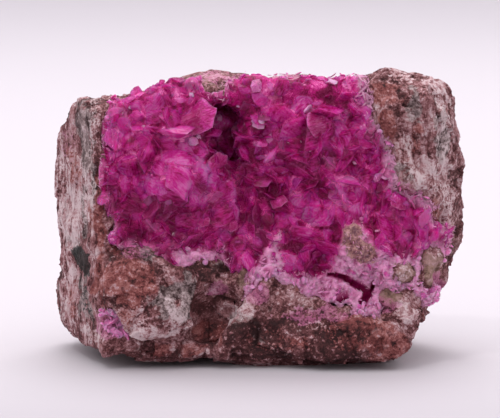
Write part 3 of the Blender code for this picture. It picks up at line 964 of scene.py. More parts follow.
@dataclass(frozen=True)
class RockFinish:
    """Broken granular rock: brown-red and pink grains with grey, pale, rusty and dark stains, the dark ones
    partly painted shade, with painted shade in pits and painted light on crests.
    """

    dark: Colour = (0.030, 0.010, 0.011)
    umber: Colour = (0.072, 0.023, 0.024)
    brown: Colour = (0.125, 0.040, 0.043)
    rose: Colour = (0.270, 0.115, 0.122)
    flesh: Colour = (0.450, 0.260, 0.275)
    pale: Colour = (0.640, 0.500, 0.515)
    grey: Colour = (0.142, 0.099, 0.100)
    ash: Colour = (0.352, 0.266, 0.264)
    rust: Colour = (0.190, 0.046, 0.045)
    brick: Colour = (0.340, 0.125, 0.115)
    spot: Colour = (0.014, 0.018, 0.017)
    tan: Colour = (0.275, 0.165, 0.125)
    pink: Colour = (0.520, 0.140, 0.300)
    roughness: float = 0.82
    specular: float = 0.25

    def material(self) -> bpy.types.Material:
        """Builds the material.

        Returns:
            The material.
        """
        sh = Shading("host rock")
        coarse, medium = sh.noise(3.4 * MM, 5.0, 1.0), sh.noise(1.0 * MM, 4.0, 0.3)
        fine = sh.noise(0.33 * MM, 4.0)
        hue = sh.noise(5.5 * MM, 5.0, 1.4) * 0.6 + sh.noise(2.3 * MM, 4.0, 1.0) * 0.4
        grain, dust = sh.grains(0.42 * MM), sh.grains(0.20 * MM)
        rough = (medium - 0.5) * 0.55 + (grain - 0.5) * 0.35 + (fine - 0.5) * 0.55

        def broken(name: str, reach: float = 1.0) -> Value:
            """A stain's share with its edge broken up by the grain."""
            return (sh.attribute(name) + rough * reach).step(0.25, 0.70)

        sheared = sh.attribute("sheared")
        threads = sh.noise(0.42 * MM, 4.0, 0.5, (1.0, 1.0, 7.0))
        bands = sh.noise(1.9 * MM, 4.0, 1.0, (1.0, 1.0, 5.0))
        seams = (sh.noise(2.6 * MM, 3.0, 1.2, (1.0, 1.0, 7.0)) - 0.5).math("ABSOLUTE").step(0.035, 0.008)
        speck = (grain - 0.5) * 0.24 + (dust - 0.5) * 0.18
        speck = speck + (fine - 0.5) * 0.60 + (medium - 0.5) * 0.90
        streaks = (threads - 0.5) * 0.50 + (bands - 0.5) * 1.10 - seams * 0.26 + speck * 0.55 + 0.11
        light = speck + (streaks - speck) * sheared + (coarse - 0.5) * 1.15 + 0.46
        # The dark stains paint shade into the recesses and undercuts, along with darker rock.
        light = light + broken("pale") * 0.30 - broken("dark") * 0.24
        # Painted light on the crests of the fine relief and painted shade in its pits.
        light = light + sh.attribute("crest") * 0.14 - sh.attribute("pit") * 0.17
        light = light + grain.step(0.66, 0.86) * medium.step(0.42, 0.62) * (0.10 + broken("dark") * 0.20)
        back, wide = sh.attribute("back"), sh.noise(10.0 * MM, 4.0, 1.3)
        veins = (wide - 0.46).math("ABSOLUTE").step(0.020, 0.004) * medium.step(0.35, 0.6)
        light = light + back * ((sh.noise(8.0 * MM, 4.0, 1.0) - 0.5) * 1.1 + veins * 0.32)
        colour = sh.ramp(
            light,
            (0.0, self.dark),
            (0.22, self.umber),
            (0.36, self.brown),
            (0.54, self.rose),
            (0.74, self.flesh),
            (0.95, self.pale),
        )
        turned = (hue - 0.5) * 3.6 + (wide - 0.5) * back * 4.0
        greys = sh.ramp(light, (0.12, self.dark), (0.40, self.grey), (0.68, self.ash), (0.97, self.pale))
        rusts = sh.ramp(light, (0.12, self.dark), (0.40, self.rust), (0.66, self.brick), (0.85, self.flesh))
        calmer = light - speck * 0.6
        tans = sh.ramp(calmer, (0.15, self.dark), (0.42, self.tan), (0.76, self.flesh), (1.00, self.pale))
        colour = sh.mix(colour, greys, (sh.attribute("grey") + rough * 0.8 + turned).step(0.30, 0.70) * 0.9)
        colour = sh.mix(colour, rusts, (sh.attribute("rust") + rough * 0.8 - turned).step(0.30, 0.70) * 0.9)
        colour = sh.mix(colour, tans, broken("tan", 0.8) * 0.9)
        colour = sh.mix(colour, self.pink, broken("pink", 1.4) * (fine + 0.1) * 0.85)
        colour = sh.mix(colour, self.spot, (sh.attribute("spot") + rough * 1.7).step(0.35, 0.75) * 0.90)
        relief = medium * 0.6 + fine * 0.35 + dust * 0.2 + (threads * 0.5 - seams * 0.6) * sheared
        shine = self.roughness - grain.step(0.86, 0.95) * 0.35
        return sh.finish(
            {
                "Base Color": colour,
                "Roughness": shine,
                "Specular IOR Level": self.specular,
                "Normal": sh.bump(relief, 0.22 * MM),
            }
        )


@dataclass(frozen=True)
class CalciteFinish:
    """Cobaltoan calcite: translucent magenta with growth lines, pale edges that are a painted highlight,
    painted shade in hollows, and milky clouds.
    """

    name: str = "cloudy calcite"
    dark: Colour = (0.110, 0.001, 0.030)
    deep: Colour = (0.300, 0.006, 0.100)
    vivid: Colour = (0.620, 0.045, 0.280)
    pale: Colour = (0.800, 0.420, 0.660)
    frost: Colour = (0.880, 0.430, 0.670)
    tan: Colour = (0.270, 0.140, 0.095)
    sand: Colour = (0.430, 0.270, 0.210)
    soil: Colour = (0.085, 0.036, 0.030)
    roughness: float = 0.22
    ior: float = 1.25
    subsurface: float = 1.0
    reach: float = 0.5 * MM
    transmission: float = 0.35
    coat: float = 0.06
    glint: float = 0.5
    grit: float = 0.05 * MM
    stretch: Triple = (1.1, 6.0, 2.5)

    def streaks(self, sh: Shading, tone: Value) -> Value:
        """Fine lines that run along each crystal, different from one crystal to the next.

        Args:
            sh: the material.
            tone: a number that each crystal has of its own.

        Returns:
            The lines, from 0 to 1.
        """
        form = sh.node("ShaderNodeAttribute", {"attribute_name": "form"}, output="Vector")
        shift = {"X": tone * 31.0, "Y": tone * 17.0, "Z": tone * 5.0}
        sockets = {0: form, 1: self.stretch, 2: sh.node("ShaderNodeCombineXYZ", sockets=shift)}
        stretched = sh.node("ShaderNodeVectorMath", {"operation": "MULTIPLY_ADD"}, sockets)
        sockets = {"Vector": stretched, "Scale": 1.5, "Detail": 4.0, "Distortion": 0.9}
        return Value(sh, sh.node("ShaderNodeTexNoise", {"noise_dimensions": "3D"}, sockets, "Fac"))

    def fibres(self, sh: Shading) -> Value:
        """A matted, thready pattern.

        Args:
            sh: the material.

        Returns:
            The pattern, from 0 to 1.
        """
        one = sh.noise(0.55 * MM, 4.0, 2.2, (1.0, 1.0, 2.6))
        other = sh.noise(0.50 * MM, 4.0, 2.6, (2.8, 1.0, 1.0))
        return one.math("MAXIMUM", other)

    def material(self) -> bpy.types.Material:
        """Builds the material.

        Returns:
            The material.
        """
        sh = Shading(self.name)
        cloud, wisp = sh.noise(3.4 * MM, 4.0, 0.8), sh.noise(0.75 * MM, 4.0, 0.7)
        grit = sh.noise(0.25 * MM, 2.0)
        tone, rim, pallor, pit = (sh.attribute(name) for name in ("tone", "rim", "pallor", "pit"))
        level, porous = sh.attribute("level"), sh.attribute("porous")
        along = self.streaks(sh, tone)
        lines = along + (self.fibres(sh) - along) * porous
        hairs = (along - 0.5).math("ABSOLUTE").step(0.045, 0.0) * (1.0 - porous)
        rings = (rim * 40.0 + lines * 7.0).math("SINE") * rim.step(0.2, 0.8)
        light = tone * 0.36 + lines * 1.35 + cloud * 1.95 + wisp * 0.55
        # The shade level adds painted shade where the druse lies deeper and in the gaps between its crystals,
        # and brightness where it is paler.
        light = light + rings * 0.05 + level * 0.36 - 1.68
        colour = sh.ramp(light, (0.10, self.dark), (0.30, self.deep), (0.58, self.vivid), (0.95, self.pale))
        veil = (lines * 0.7 + wisp * 0.5).step(0.60, 0.95) * 0.30
        # Painted highlight: the crystals' rims are paler, as thin lit edges; the hairs are pale lines within
        # them.
        edges = (rim ** 12.0) * (lines - 0.1) * 1.1 + hairs * wisp * 0.6
        milk = (pallor * (lines * 0.8 + wisp * 0.9 + 0.05) + veil - 0.08).clamped()
        colour = sh.mix(colour, sh.mix(self.vivid, self.pale, 0.45), edges.clamped())
        colour = sh.mix(colour, sh.mix(self.pale, self.frost, porous), milk)
        earth = sh.ramp(
            (cloud - 0.5) * 0.6 + wisp + (grit - 0.5) * 0.5,
            (0.36, self.soil),
            (0.50, self.tan),
            (0.66, self.sand),
            (0.84, self.frost),
        )
        colour = sh.mix(colour, earth, (sh.attribute("tan") + (wisp - 0.5) * 1.6).step(0.25, 0.70) * 0.85)
        # Painted shade: the porous part's hollows and the clefts are darker, over the deeper magenta of the
        # crystals inside.
        pit_shading = (pit + (wisp - 0.5) * 0.5 * pit).clamped() * 0.9
        colour = sh.mix(colour, sh.mix(self.dark, self.deep, 0.4), pit_shading)
        shine = (wisp * 0.22 + pallor * 0.30 + self.roughness - 0.11).clamped()
        glints = (grit + (lines - 0.5) * 0.4).step(0.58, 0.70) * (1.0 - porous)
        normal = sh.bump(rings * 0.25 + lines * 0.9 + cloud * 1.0 + grit * 0.35, self.grit)
        return sh.finish(
            {
                "Base Color": colour,
                "Roughness": shine,
                "Normal": normal,
                "IOR": self.ior,
                "Subsurface Weight": self.subsurface,
                "Subsurface Radius": (1.0, 0.6, 0.8),
                "Subsurface Scale": self.reach,
                "Transmission Weight": self.transmission,
                "Coat Weight": glints * self.glint + self.coat,
                "Coat Roughness": 0.10,
            }
        )


# The host rock


class Facets(NamedTuple):
    """Flat facets of about one size, each tilted and stepped in its own way. Size and step in metres."""

    size: float
    tilt: float
    step: float

    def height(self, point: Vector) -> float:
        """How high the facets stand.

        Args:
            point: a place on the skin.

        Returns:
            Metres above the skin.
        """
        seed = noise.voronoi(point / self.size)[1][0]
        lean = noise.noise_vector(seed * 5.3)
        tilted = self.size * self.tilt * lean.dot(point / self.size - seed)
        return tilted + self.step * noise.noise(seed * 3.7)


@dataclass
class HostRock:
    """The block: the CAD form with broken facets, grains, pits and streaks on it. Sizes in metres.

    Args:
        voxel: its mesh's edge length, which is half as long at the front.
        splits: the large facets of the back.
        facets: the facets all over it.
        chips: the small facets on those.
        grain: the grains' size.
        seam: how deep the seams between the grains are.
        groove: how far the grooves of the sheared sides rise and fall.
        foot: the height below which it lies flat on the ground.
        cleft: how deep the clefts are.
        crown: how far its top edge may stand out at most.
        drift: how far the stains' edges stray.
    """

    voxel: float = 0.66 * MM
    splits: Facets = Facets(11.0 * MM, 0.10, 1.1 * MM)
    facets: Facets = Facets(4.2 * MM, 0.40, 0.48 * MM)
    chips: Facets = Facets(1.9 * MM, 0.28, 0.17 * MM)
    grain: float = 1.0 * MM
    seam: float = 0.13 * MM
    groove: float = 0.42 * MM
    foot: float = 0.25 * MM
    cleft: float = 1.7 * MM
    crown: float = 0.3 * MM
    drift: float = 1.3 * MM

    def height(self, point: Vector, sheared: float, back: float) -> float:
        """How far the skin stands out. The back is broken in larger facets.

        Args:
            point: a place on the skin.
            sheared: how far it is sheared there, from 0 to 1.
            back: how far it belongs to the back, from 0 to 1.

        Returns:
            Metres.
        """
        broken = self.facets.height(point) + self.chips.height(point)
        gaps = noise.voronoi(point / self.grain)[0]
        crumbs = -self.seam * (1.0 - min((gaps[1] - gaps[0]) / 0.25, 1.0))
        rough = 0.11 * MM * noise.noise(point / (0.8 * MM)) + 0.05 * MM * noise.noise(point / (0.4 * MM))
        grooves = self.groove * noise.noise(Vector((point.x / 1.5, point.y / 1.2, point.z / 9.0)) / MM)
        split = self.splits.height(point) * back if back > 0.0 else 0.0
        return broken * (1.0 - 0.6 * sheared) + crumbs + rough + sheared * grooves + split

    def formed(self, points: Points) -> np.ndarray:
        """How far the features stand out.

        Args:
            points: places in metres, one a row.

        Returns:
            Metres for each point.
        """
        stray = 0.45 * noise_at(points, 1.8 * MM, 6.0) + 0.2 * noise_at(points, 0.8 * MM, 7.0)
        total = np.zeros(len(points))
        for feature in FEATURES:
            if feature.closed:
                share = smooth(-0.2, feature.width, inside(points, feature.outline) + stray)
            else:
                off = np.clip((off_line(points, feature.outline) + 0.6 * stray) / feature.width, 0.0, 1.0)
                share = np.sqrt(1.0 - off**2)
            total += feature.rise * MM * share
        return total

    def fine_skin(self) -> bmesh.types.BMesh:
        """The CAD form as an even mesh, finer where the front and the sides show.

        Returns:
            The mesh.
        """
        bm = fused(node_bmesh("host_rock"), self.voxel)
        soften(bm, 3)
        points, outward = places(bm), facings(bm)
        shown = (outward[:, 1] < 0.15) & (druse_depth(points) < 2.0)
        bm.verts.ensure_lookup_table()
        edges = {edge for edge in bm.edges if all(shown[vert.index] for vert in edge.verts)}
        bmesh.ops.subdivide_edges(bm, edges=list(edges), cuts=1, use_grid_fill=True)
        return bm

    def build(self) -> bpy.types.Object:
        """Builds the rock and its stains.

        Returns:
            The piece.
        """
        bm = self.fine_skin()
        points, outward = places(bm), facings(bm)
        sheared = smooth(0.45, 0.8, -outward[:, 0]) * smooth(6.0, 2.0, points[:, 1] / MM)
        sheared = np.maximum(sheared, stain_share(points, SHEARED_SHOULDER))
        depth = druse_depth(points)
        hidden = smooth(0.5, 3.0, depth)
        back = smooth(-3.0, 7.0, points[:, 1] / MM)
        raised = np.array([self.height(Vector(at), *shares) for at, *shares in zip(points, sheared, back)])
        raised *= 1.0 - 0.8 * hidden
        raised -= self.cleft * hollow_share(points, 0.8) * smooth(-0.5, 1.0, depth)
        crown = smooth(47.0, 50.0, points[:, 2] / MM)
        raised += (np.minimum(raised, self.crown) - raised) * crown
        raised *= 1.0 - 0.6 * tan_share(points)
        formed = self.formed(points) * smooth(-2.0, -6.0, points[:, 1] / MM)
        formed *= smooth(0.30, 0.75, -outward[:, 1])
        raised += formed
        standing = smooth(0.2, 1.6, points[:, 2] / MM)
        moved = points + outward * (raised * standing)[:, None]
        moved[:, 2] = np.where(points[:, 2] < self.foot, 0.0, np.maximum(moved[:, 2], 0.0))
        move_to(bm, moved)
        rock = mesh_object("rock_skin", bm)
        self.stain(rock.data, points, sheared, raised - formed)
        smooth_faces(rock, 38.0)
        return rock

    def stain(self, mesh: bpy.types.Mesh, points: Points, sheared: np.ndarray, raised: np.ndarray) -> None:
        """Stores what the material reads: each tint, the sheared side, the dark spot, and painted shade in
        the pits and painted light on the crests.

        Args:
            mesh: the rock's mesh.
            points: where its vertices were before they were moved, one a row.
            sheared: how far each is sheared, from 0 to 1.
            raised: how far each was moved by the fine relief, in metres.
        """
        drift = np.zeros(points.shape)
        drift[:, 0], drift[:, 2] = noise_at(points, 2.6 * MM, 1.0), noise_at(points, 2.6 * MM, 8.0)
        strayed = points + self.drift * drift
        front = smooth(6.0, -4.0, points[:, 1] / MM)
        paint(mesh, "back", 1.0 - front)
        for tint, stains in STAINS.items():
            shares = [stain_share(strayed, stain) for stain in stains]
            paint(mesh, tint.value, np.max(shares, axis=0) * front)
        paint(mesh, "sheared", sheared)
        paint(mesh, "spot", np.max([stain_share(strayed, stain) for stain in SPOTS], axis=0) * sheared)
        # Painted shade where the fine relief sinks and painted light where it rises.
        paint(mesh, "pit", smooth(-0.15, -0.75, raised / MM))
        paint(mesh, "crest", smooth(0.10, 0.60, raised / MM))


# The druse


class Site(NamedTuple):
    """A spot on the rock where a crystal may grow, with its own dice."""

    at: Vector
    outward: Vector
    depth: float
    porous: float
    level: float
    dice: random.Random


@dataclass
class Bed:
    """The sheet that the crystals stand on, thin at its rim. Lengths in metres."""

    voxel: float = 0.62 * MM
    root: float = 0.9 * MM
    swirl: float = 3.0 * MM
    rim: float = 0.15 * MM
    waves: float = 0.35 * MM

    def build(self) -> bpy.types.Object:
        """Builds the sheet as one closed shell.

        Returns:
            The sheet.
        """
        bm = fused(node_bmesh("host_rock"), self.voxel)
        soften(bm, 5)
        points, outward = places(bm), facings(bm)
        ragged = 1.3 * noise_at(points, 1.1 * MM, 31.0)
        ragged *= np.maximum(porous_share(points), right_share(points))
        kept = (druse_depth(points) + ragged > -0.35) & (outward[:, 1] < 0.3)
        spare = [vert for vert, keep in zip(bm.verts, kept) if not keep]
        bmesh.ops.delete(bm, geom=spare, context="VERTS")
        bmesh.ops.subdivide_edges(bm, edges=bm.edges[:], cuts=1, use_grid_fill=True)
        soften(bm, 3)
        points, outward = places(bm), facings(bm)
        depth = druse_depth(points)
        swell = BED_THICK * MM * smooth(0.0, BED_RIM, depth) + self.rim
        swell += self.waves * noise_at(points, 2.2 * MM, 5.0) * smooth(0.5, 2.5, depth)
        swell += crown_rise(*seen(points)) * MM
        move_to(bm, points + outward * swell[:, None])
        # The shade level: painted shade where the druse lies deeper, lowered by 0.35 so that the sheet
        # between the crystals is painted darker as shade.
        note(bm, "level", relief(points) - 0.35)
        note(bm, "tone", 0.5 + 0.5 * noise_at(points, self.swirl, 12.0))
        swirl = [noise_at(points, self.swirl, shift) for shift in (21.0, 22.0, 23.0)]
        layer = bm.verts.layers.float_vector.new("form")
        for vert, form in zip(bm.verts, np.stack(swirl, 1)):
            vert[layer] = form
        add_underside(bm, points - outward * self.root)
        return mesh_object("bed", bm)


@dataclass(frozen=True)
class Growth:
    """One generation of crystals. Lengths in millimetres, angles in degrees.

    Args:
        flat: a crystal's half height against its radius.
        seed: what its dice start from.
        spacing: how far apart its sites are.
        size: a crystal's middle size.
        spread: the smallest and the largest share of that size.
        leans: how far crystals lean, of which each takes one.
        lift: how far a crystal's middle stands off the rock.
        segments: how many sides a crystal's mesh has.
        rings: how many rings each of its faces has.
        narrow: its width against its length.
        sharp: how pointed its corners are, from 0 to 1.
        bulging: how far its faces bulge, against the others' bulge.
        crease: the angle past which an edge stays sharp.
    """

    flat: float
    seed: int
    spacing: float = 0.0
    size: float = 1.0
    spread: tuple[float, float] = (1.0, 1.0)
    leans: tuple[float, ...] = LEANS
    lift: float = 0.0
    segments: int = 12
    rings: int = 2
    narrow: float = 0.9
    sharp: float = 0.16
    bulging: float = 1.0
    crease: float = 50.0

    def sized(self, dice: random.Random) -> float:
        """The size of one crystal, in millimetres, by a throw of its dice."""
        return self.size * dice.uniform(*self.spread)


class Sprout(NamedTuple):
    """One crystal: its place, how it stands, its extent along its own axes, and what its mesh holds."""

    at: Vector
    stand: Quaternion
    extent: Vector
    tone: float
    pallor: float
    level: float


@dataclass
class Seedbed:
    """Finds where crystals stand on the rock. It searches a space that is given in millimetres."""

    tree: BVHTree
    half_width: float = 40.0
    front: float = -24.0
    top: float = 58.0

    def sites(
        self,
        growth: Growth,
        depth: Callable[[Points], np.ndarray] = druse_depth,
    ) -> Iterator[Site]:
        """Spots spread evenly over the surface where depth allows crystals.

        Args:
            growth: the generation, of which the spacing and the seed count.
            depth: millimetres that points lie inside what it grows on.

        Yields:
            Each spot.
        """
        spacing, step = growth.spacing, growth.spacing * MM
        cells = itertools.product(
            range(int(-self.half_width / spacing), int(self.half_width / spacing)),
            range(int(self.front / spacing), 1),
            range(0, int(self.top / spacing)),
        )
        thrown = []
        for cell in cells:
            dice = random.Random(f"{growth.seed} {cell}")
            thrown.append((Vector([(place + dice.uniform(-0.3, 0.3)) * step for place in cell]), dice))
        spots = np.array([at[:] for at, _ in thrown])
        allowed = depth(spots) >= 0.0
        open_rock = np.maximum(tan_share(spots), hollow_share(spots, 0.35))
        found = []
        for (at, dice), allow, bare in zip(thrown, allowed, open_rock.tolist()):
            if not allow or bare > dice.uniform(0.05, 0.95):
                continue
            point, outward, _, _ = self.tree.find_nearest(at)
            if (point - at).length < 0.5 * step and outward.y < 0.2:
                found.append((point, outward, dice))
        points = np.array([point[:] for point, _, _ in found])
        facts = np.stack([depth(points), porous_share(points), relief(points)], 1)
        for (point, outward, dice), (deep, porous, level) in zip(found, facts.tolist()):
            if deep > 0.0:
                yield Site(point, outward, deep, porous, level, dice)


def sprout(site: Site, growth: Growth, size: float, lift: float, pallor: float) -> Sprout:
    """Stands one crystal on a site.

    Args:
        site: where it grows.
        growth: the generation that it belongs to.
        size: its size in millimetres.
        lift: how far its middle stands off the rock, in millimetres.
        pallor: how pale it is, from 0 to 1.

    Returns:
        The crystal.
    """
    dice = site.dice
    turn = Quaternion((0, 0, 1), dice.uniform(0, 2 * math.pi))
    off = math.hypot(site.at.x / MM - CALM[0], site.at.z / MM - CALM[1])
    calm = float(smooth(0.0, 3.0, CALM[2] - off))
    crown = float(smooth(TOP_RIM, TOP_RIM + 4.0, site.at.z / MM))
    lean = dice.choice(growth.leans) + dice.uniform(-8, 8)
    lean = math.radians(lean * (1 - 0.7 * max(calm, 0.8 * crown)))
    spin = Quaternion((0, 0, 1), dice.uniform(0, 2 * math.pi))
    stand = site.outward.to_track_quat("Z", "Y") @ turn @ Quaternion((1, 0, 0), lean) @ spin
    radius = CRYSTAL_RADIUS * size * MM
    width = growth.narrow * dice.uniform(0.9, 1.1)
    extent = Vector((radius, radius * width, radius * growth.flat * dice.uniform(0.8, 1.2)))
    tone = dice.random()
    clouded = CLOUDED_PALLOR if dice.random() < CLOUDED_SHARE else 0.0
    pallor = min(pallor + 0.10 * calm + clouded, 1.0)
    lift += 1.1 * min(site.level, 0.0) + float(crown_rise(site.at.x / MM, site.at.z / MM))
    return Sprout(site.at + site.outward * lift * MM, stand, extent, tone, pallor, site.level)


def fringed(site: Site) -> float:
    """How pale the druse's rim is at a site: it is paler towards the right and at the far left."""
    x = site.at.x / MM
    return 0.35 + 0.65 * float(smooth(-8.0, 12.0, x)) + 0.35 * float(smooth(LEFT_RIM, LEFT_RIM - 4.0, x))


def matted_share(site: Site) -> float:
    """How far threads rather than crystals cover a site: the porous part and the rim on the right."""
    right = float(right_share(np.array([site.at[:]]))[0])
    return max(site.porous, 0.9 * right * float(smooth(2.8, 1.2, site.depth)))


@dataclass(frozen=True)
class LensForm:
    """A crystal's form: a flattened rhombohedron whose faces bulge, with a sharp wavy rim.

    Args:
        segments: how many sides its mesh has.
        rings: how many rings each face has.
        bulge: 0 for the flat faces of a rhombohedron and 1 for a dome.
        bend: how far it is bent like a dish.
        seed: what the waves of its rim start from.
        sharp: how pointed its corners are, from 0 to 1.
        crease: degrees past which an edge stays sharp.
        round_rim: how far a round rim is from the axis, before the form is scaled.
        corner_rim: how far a pointed corner is, which is what it is scaled by.
    """

    segments: int
    rings: int
    bulge: float
    bend: float
    seed: int
    sharp: float
    crease: float
    round_rim: float = 1.23
    corner_rim: float = 1.333

    def profile(self, share: float, angle: float) -> tuple[float, float, float]:
        """The form at a share of the way from its axis to its rim.

        Args:
            share: 0 on the axis and 1 on the rim.
            angle: the direction from the axis, in radians.

        Returns:
            The distance from the axis, and the heights of the upper and the lower face.
        """
        third = 2 * math.pi / 3
        upper = max(math.cos(angle - third * side) for side in range(3))
        lower = max(math.cos(angle - math.pi / 3 - third * side) for side in range(3))
        corner = 2.0 / (upper + lower)
        rim = self.sharp * corner + (1.0 - self.sharp) * self.round_rim
        edge = 0.5 * (lower - upper) * corner
        dome = edge * share**2
        top = (1 - self.bulge) * (1 - share * corner * upper) + self.bulge * (dome + 1 - share**2)
        low = (1 - self.bulge) * (share * corner * lower - 1) + self.bulge * (dome - 1 + share**2)
        return share * rim / self.corner_rim, top, low

    def build(self, name: str) -> bpy.types.Object:
        """Builds the form with a radius and a half height of about 1.

        Args:
            name: the form's name.

        Returns:
            The form, whose mesh holds its rim and its own places.
        """
        bm = bmesh.new()
        rim_share, form_place = bm.verts.layers.float.new("rim"), bm.verts.layers.float_vector.new("form")
        wobble = random.Random(self.seed)
        waves = [(count, wobble.uniform(0, 6.28), wobble.uniform(0.01, 0.04)) for count in (2, 3, 5, 7)]

        def corner(ring: int, segment: int, side: int) -> bmesh.types.BMVert:
            """Adds one vertex of the form.

            Args:
                ring: its ring, which counts from the pole.
                segment: its place round the ring.
                side: 1 on the upper face and -1 on the lower.

            Returns:
                The vertex.
            """
            angle = 2 * math.pi * segment / self.segments
            share = (ring / self.rings) ** 0.85
            radius, top, low = self.profile(share, angle)
            radius *= 1 + sum(size * math.sin(count * angle + phase) for count, phase, size in waves)
            x, y = radius * math.cos(angle), radius * math.sin(angle)
            vert = bm.verts.new((x, y, (top if side > 0 else low) + self.bend * (x * x - 0.3)))
            vert[rim_share], vert[form_place] = share, vert.co
            return vert

        rim_loop = [corner(self.rings, segment, 1) for segment in range(self.segments)]
        for side in (1, -1):
            pole = bm.verts.new((0, 0, side - 0.3 * self.bend))
            pole[form_place] = pole.co
            inner = None
            for ring in range(1, self.rings + 1):
                outer = rim_loop
                if ring < self.rings:
                    outer = [corner(ring, segment, side) for segment in range(self.segments)]
                for here in range(self.segments):
                    there = (here + 1) % self.segments
                    face = [outer[here], outer[there]] + ([inner[there], inner[here]] if inner else [pole])
                    bm.faces.new(face if side > 0 else face[::-1])
                inner = outer
        bmesh.ops.recalc_face_normals(bm, faces=bm.faces)
        form = mesh_object(name, bm)
        smooth_faces(form, self.crease)
        return form


class Scatter:
    """The node tree that sets a crystal form on every point."""

    INPUTS = (
        ("Forms", "NodeSocketCollection"),
        ("Finish", "NodeSocketMaterial"),
        ("Swell", "NodeSocketFloat"),
    )

    def __init__(self) -> None:
        """Builds the tree."""
        self.tree = bpy.data.node_groups.new("crystals on points", "GeometryNodeTree")
        face = self.tree.interface
        face.new_socket("Geometry", in_out="INPUT", socket_type="NodeSocketGeometry")
        self.ids = {
            name: face.new_socket(name, in_out="INPUT", socket_type=kind).identifier
            for name, kind in self.INPUTS
        }
        face.new_socket("Geometry", in_out="OUTPUT", socket_type="NodeSocketGeometry")
        given = add_node(self.tree, "NodeGroupInput").outputs
        forms = self.node(
            "GeometryNodeCollectionInfo",
            {"Collection": given["Forms"], "Separate Children": True, "Reset Children": True},
        )
        extent = self.node(
            "ShaderNodeVectorMath",
            {0: self.named("extent", "FLOAT_VECTOR"), "Scale": given["Swell"]},
            {"operation": "SCALE"},
        )
        placed = self.node(
            "GeometryNodeInstanceOnPoints",
            {
                "Points": given["Geometry"],
                "Instance": forms,
                "Pick Instance": True,
                "Instance Index": self.named("kind", "INT"),
                "Rotation": self.named("stand", "QUATERNION"),
                "Scale": extent,
            },
        )
        real = self.node("GeometryNodeRealizeInstances", {"Geometry": placed})
        dressed = self.node("GeometryNodeSetMaterial", {"Geometry": real, "Material": given["Finish"]})
        add_node(self.tree, "NodeGroupOutput", sockets={"Geometry": dressed})

    def node(self, kind: str, sockets: Sockets, settings: Settings = None) -> bpy.types.NodeSocket:
        """Adds a node as add_node does, and returns its first output."""
        return add_node(self.tree, kind, settings, sockets).outputs[0]

    def named(self, name: str, data_type: str) -> bpy.types.NodeSocket:
        """An attribute that the points hold."""
        return self.node("GeometryNodeInputNamedAttribute", {"Name": name}, {"data_type": data_type})

    def grow(
        self,
        name: str,
        sprouts: Sequence[Sprout],
        forms: Sequence[LensForm],
        finish: bpy.types.Material,
    ) -> bpy.types.Object:
        """Makes one piece of many crystals.

        Args:
            name: the piece's name.
            sprouts: where and how each crystal stands.
            forms: the forms that they take in turn.
            finish: their material.

        Returns:
            The piece, as a plain mesh.
        """
        holder = bpy.data.collections.new("forms")
        bpy.context.scene.collection.children.link(holder)
        shapes = [form.build(f"form_{at}") for at, form in enumerate(forms)]
        for shape in shapes:
            bpy.context.scene.collection.objects.unlink(shape)
            holder.objects.link(shape)
        points = self.points(name, sprouts, len(forms))
        grow = points.modifiers.new("grow", "NODES")
        grow.node_group = self.tree
        for title, value in (("Forms", holder), ("Finish", finish), ("Swell", 1.0)):
            grow[self.ids[title]] = value
        mesh = evaluated_mesh(points)
        bpy.data.objects.remove(points)
        for shape in shapes:
            bpy.data.objects.remove(shape)
        bpy.data.collections.remove(holder)
        for spare in ("kind", "stand", "extent"):
            if spare in mesh.attributes:
                mesh.attributes.remove(mesh.attributes[spare])
        return in_scene(name, mesh)

    @staticmethod
    def points(name: str, sprouts: Sequence[Sprout], kinds: int) -> bpy.types.Object:
        """Loose points that hold how each crystal stands.

        Args:
            name: the piece's name.
            sprouts: where and how each crystal stands.
            kinds: how many forms there are.

        Returns:
            The points.
        """
        mesh = bpy.data.meshes.new(f"{name} points")
        mesh.from_pydata([grown.at for grown in sprouts], [], [])
        dice = random.Random(len(sprouts))
        columns = (
            ("kind", "INT", "value", [dice.randrange(kinds) for _ in sprouts]),
            ("stand", "QUATERNION", "value", [part for grown in sprouts for part in grown.stand]),
            ("extent", "FLOAT_VECTOR", "vector", [part for grown in sprouts for part in grown.extent]),
            ("tone", "FLOAT", "value", [grown.tone for grown in sprouts]),
            ("pallor", "FLOAT", "value", [grown.pallor for grown in sprouts]),
            ("level", "FLOAT", "value", [grown.level for grown in sprouts]),
        )
        for title, kind, key, values in columns:
            mesh.attributes.new(title, kind, "POINT").data.foreach_set(key, values)
        return in_scene(mesh.name, mesh)


def dot(one: Points, other: Points) -> np.ndarray:
    """The dot product of each row with the other's."""
    return np.einsum("ij,ij->i", one, other)


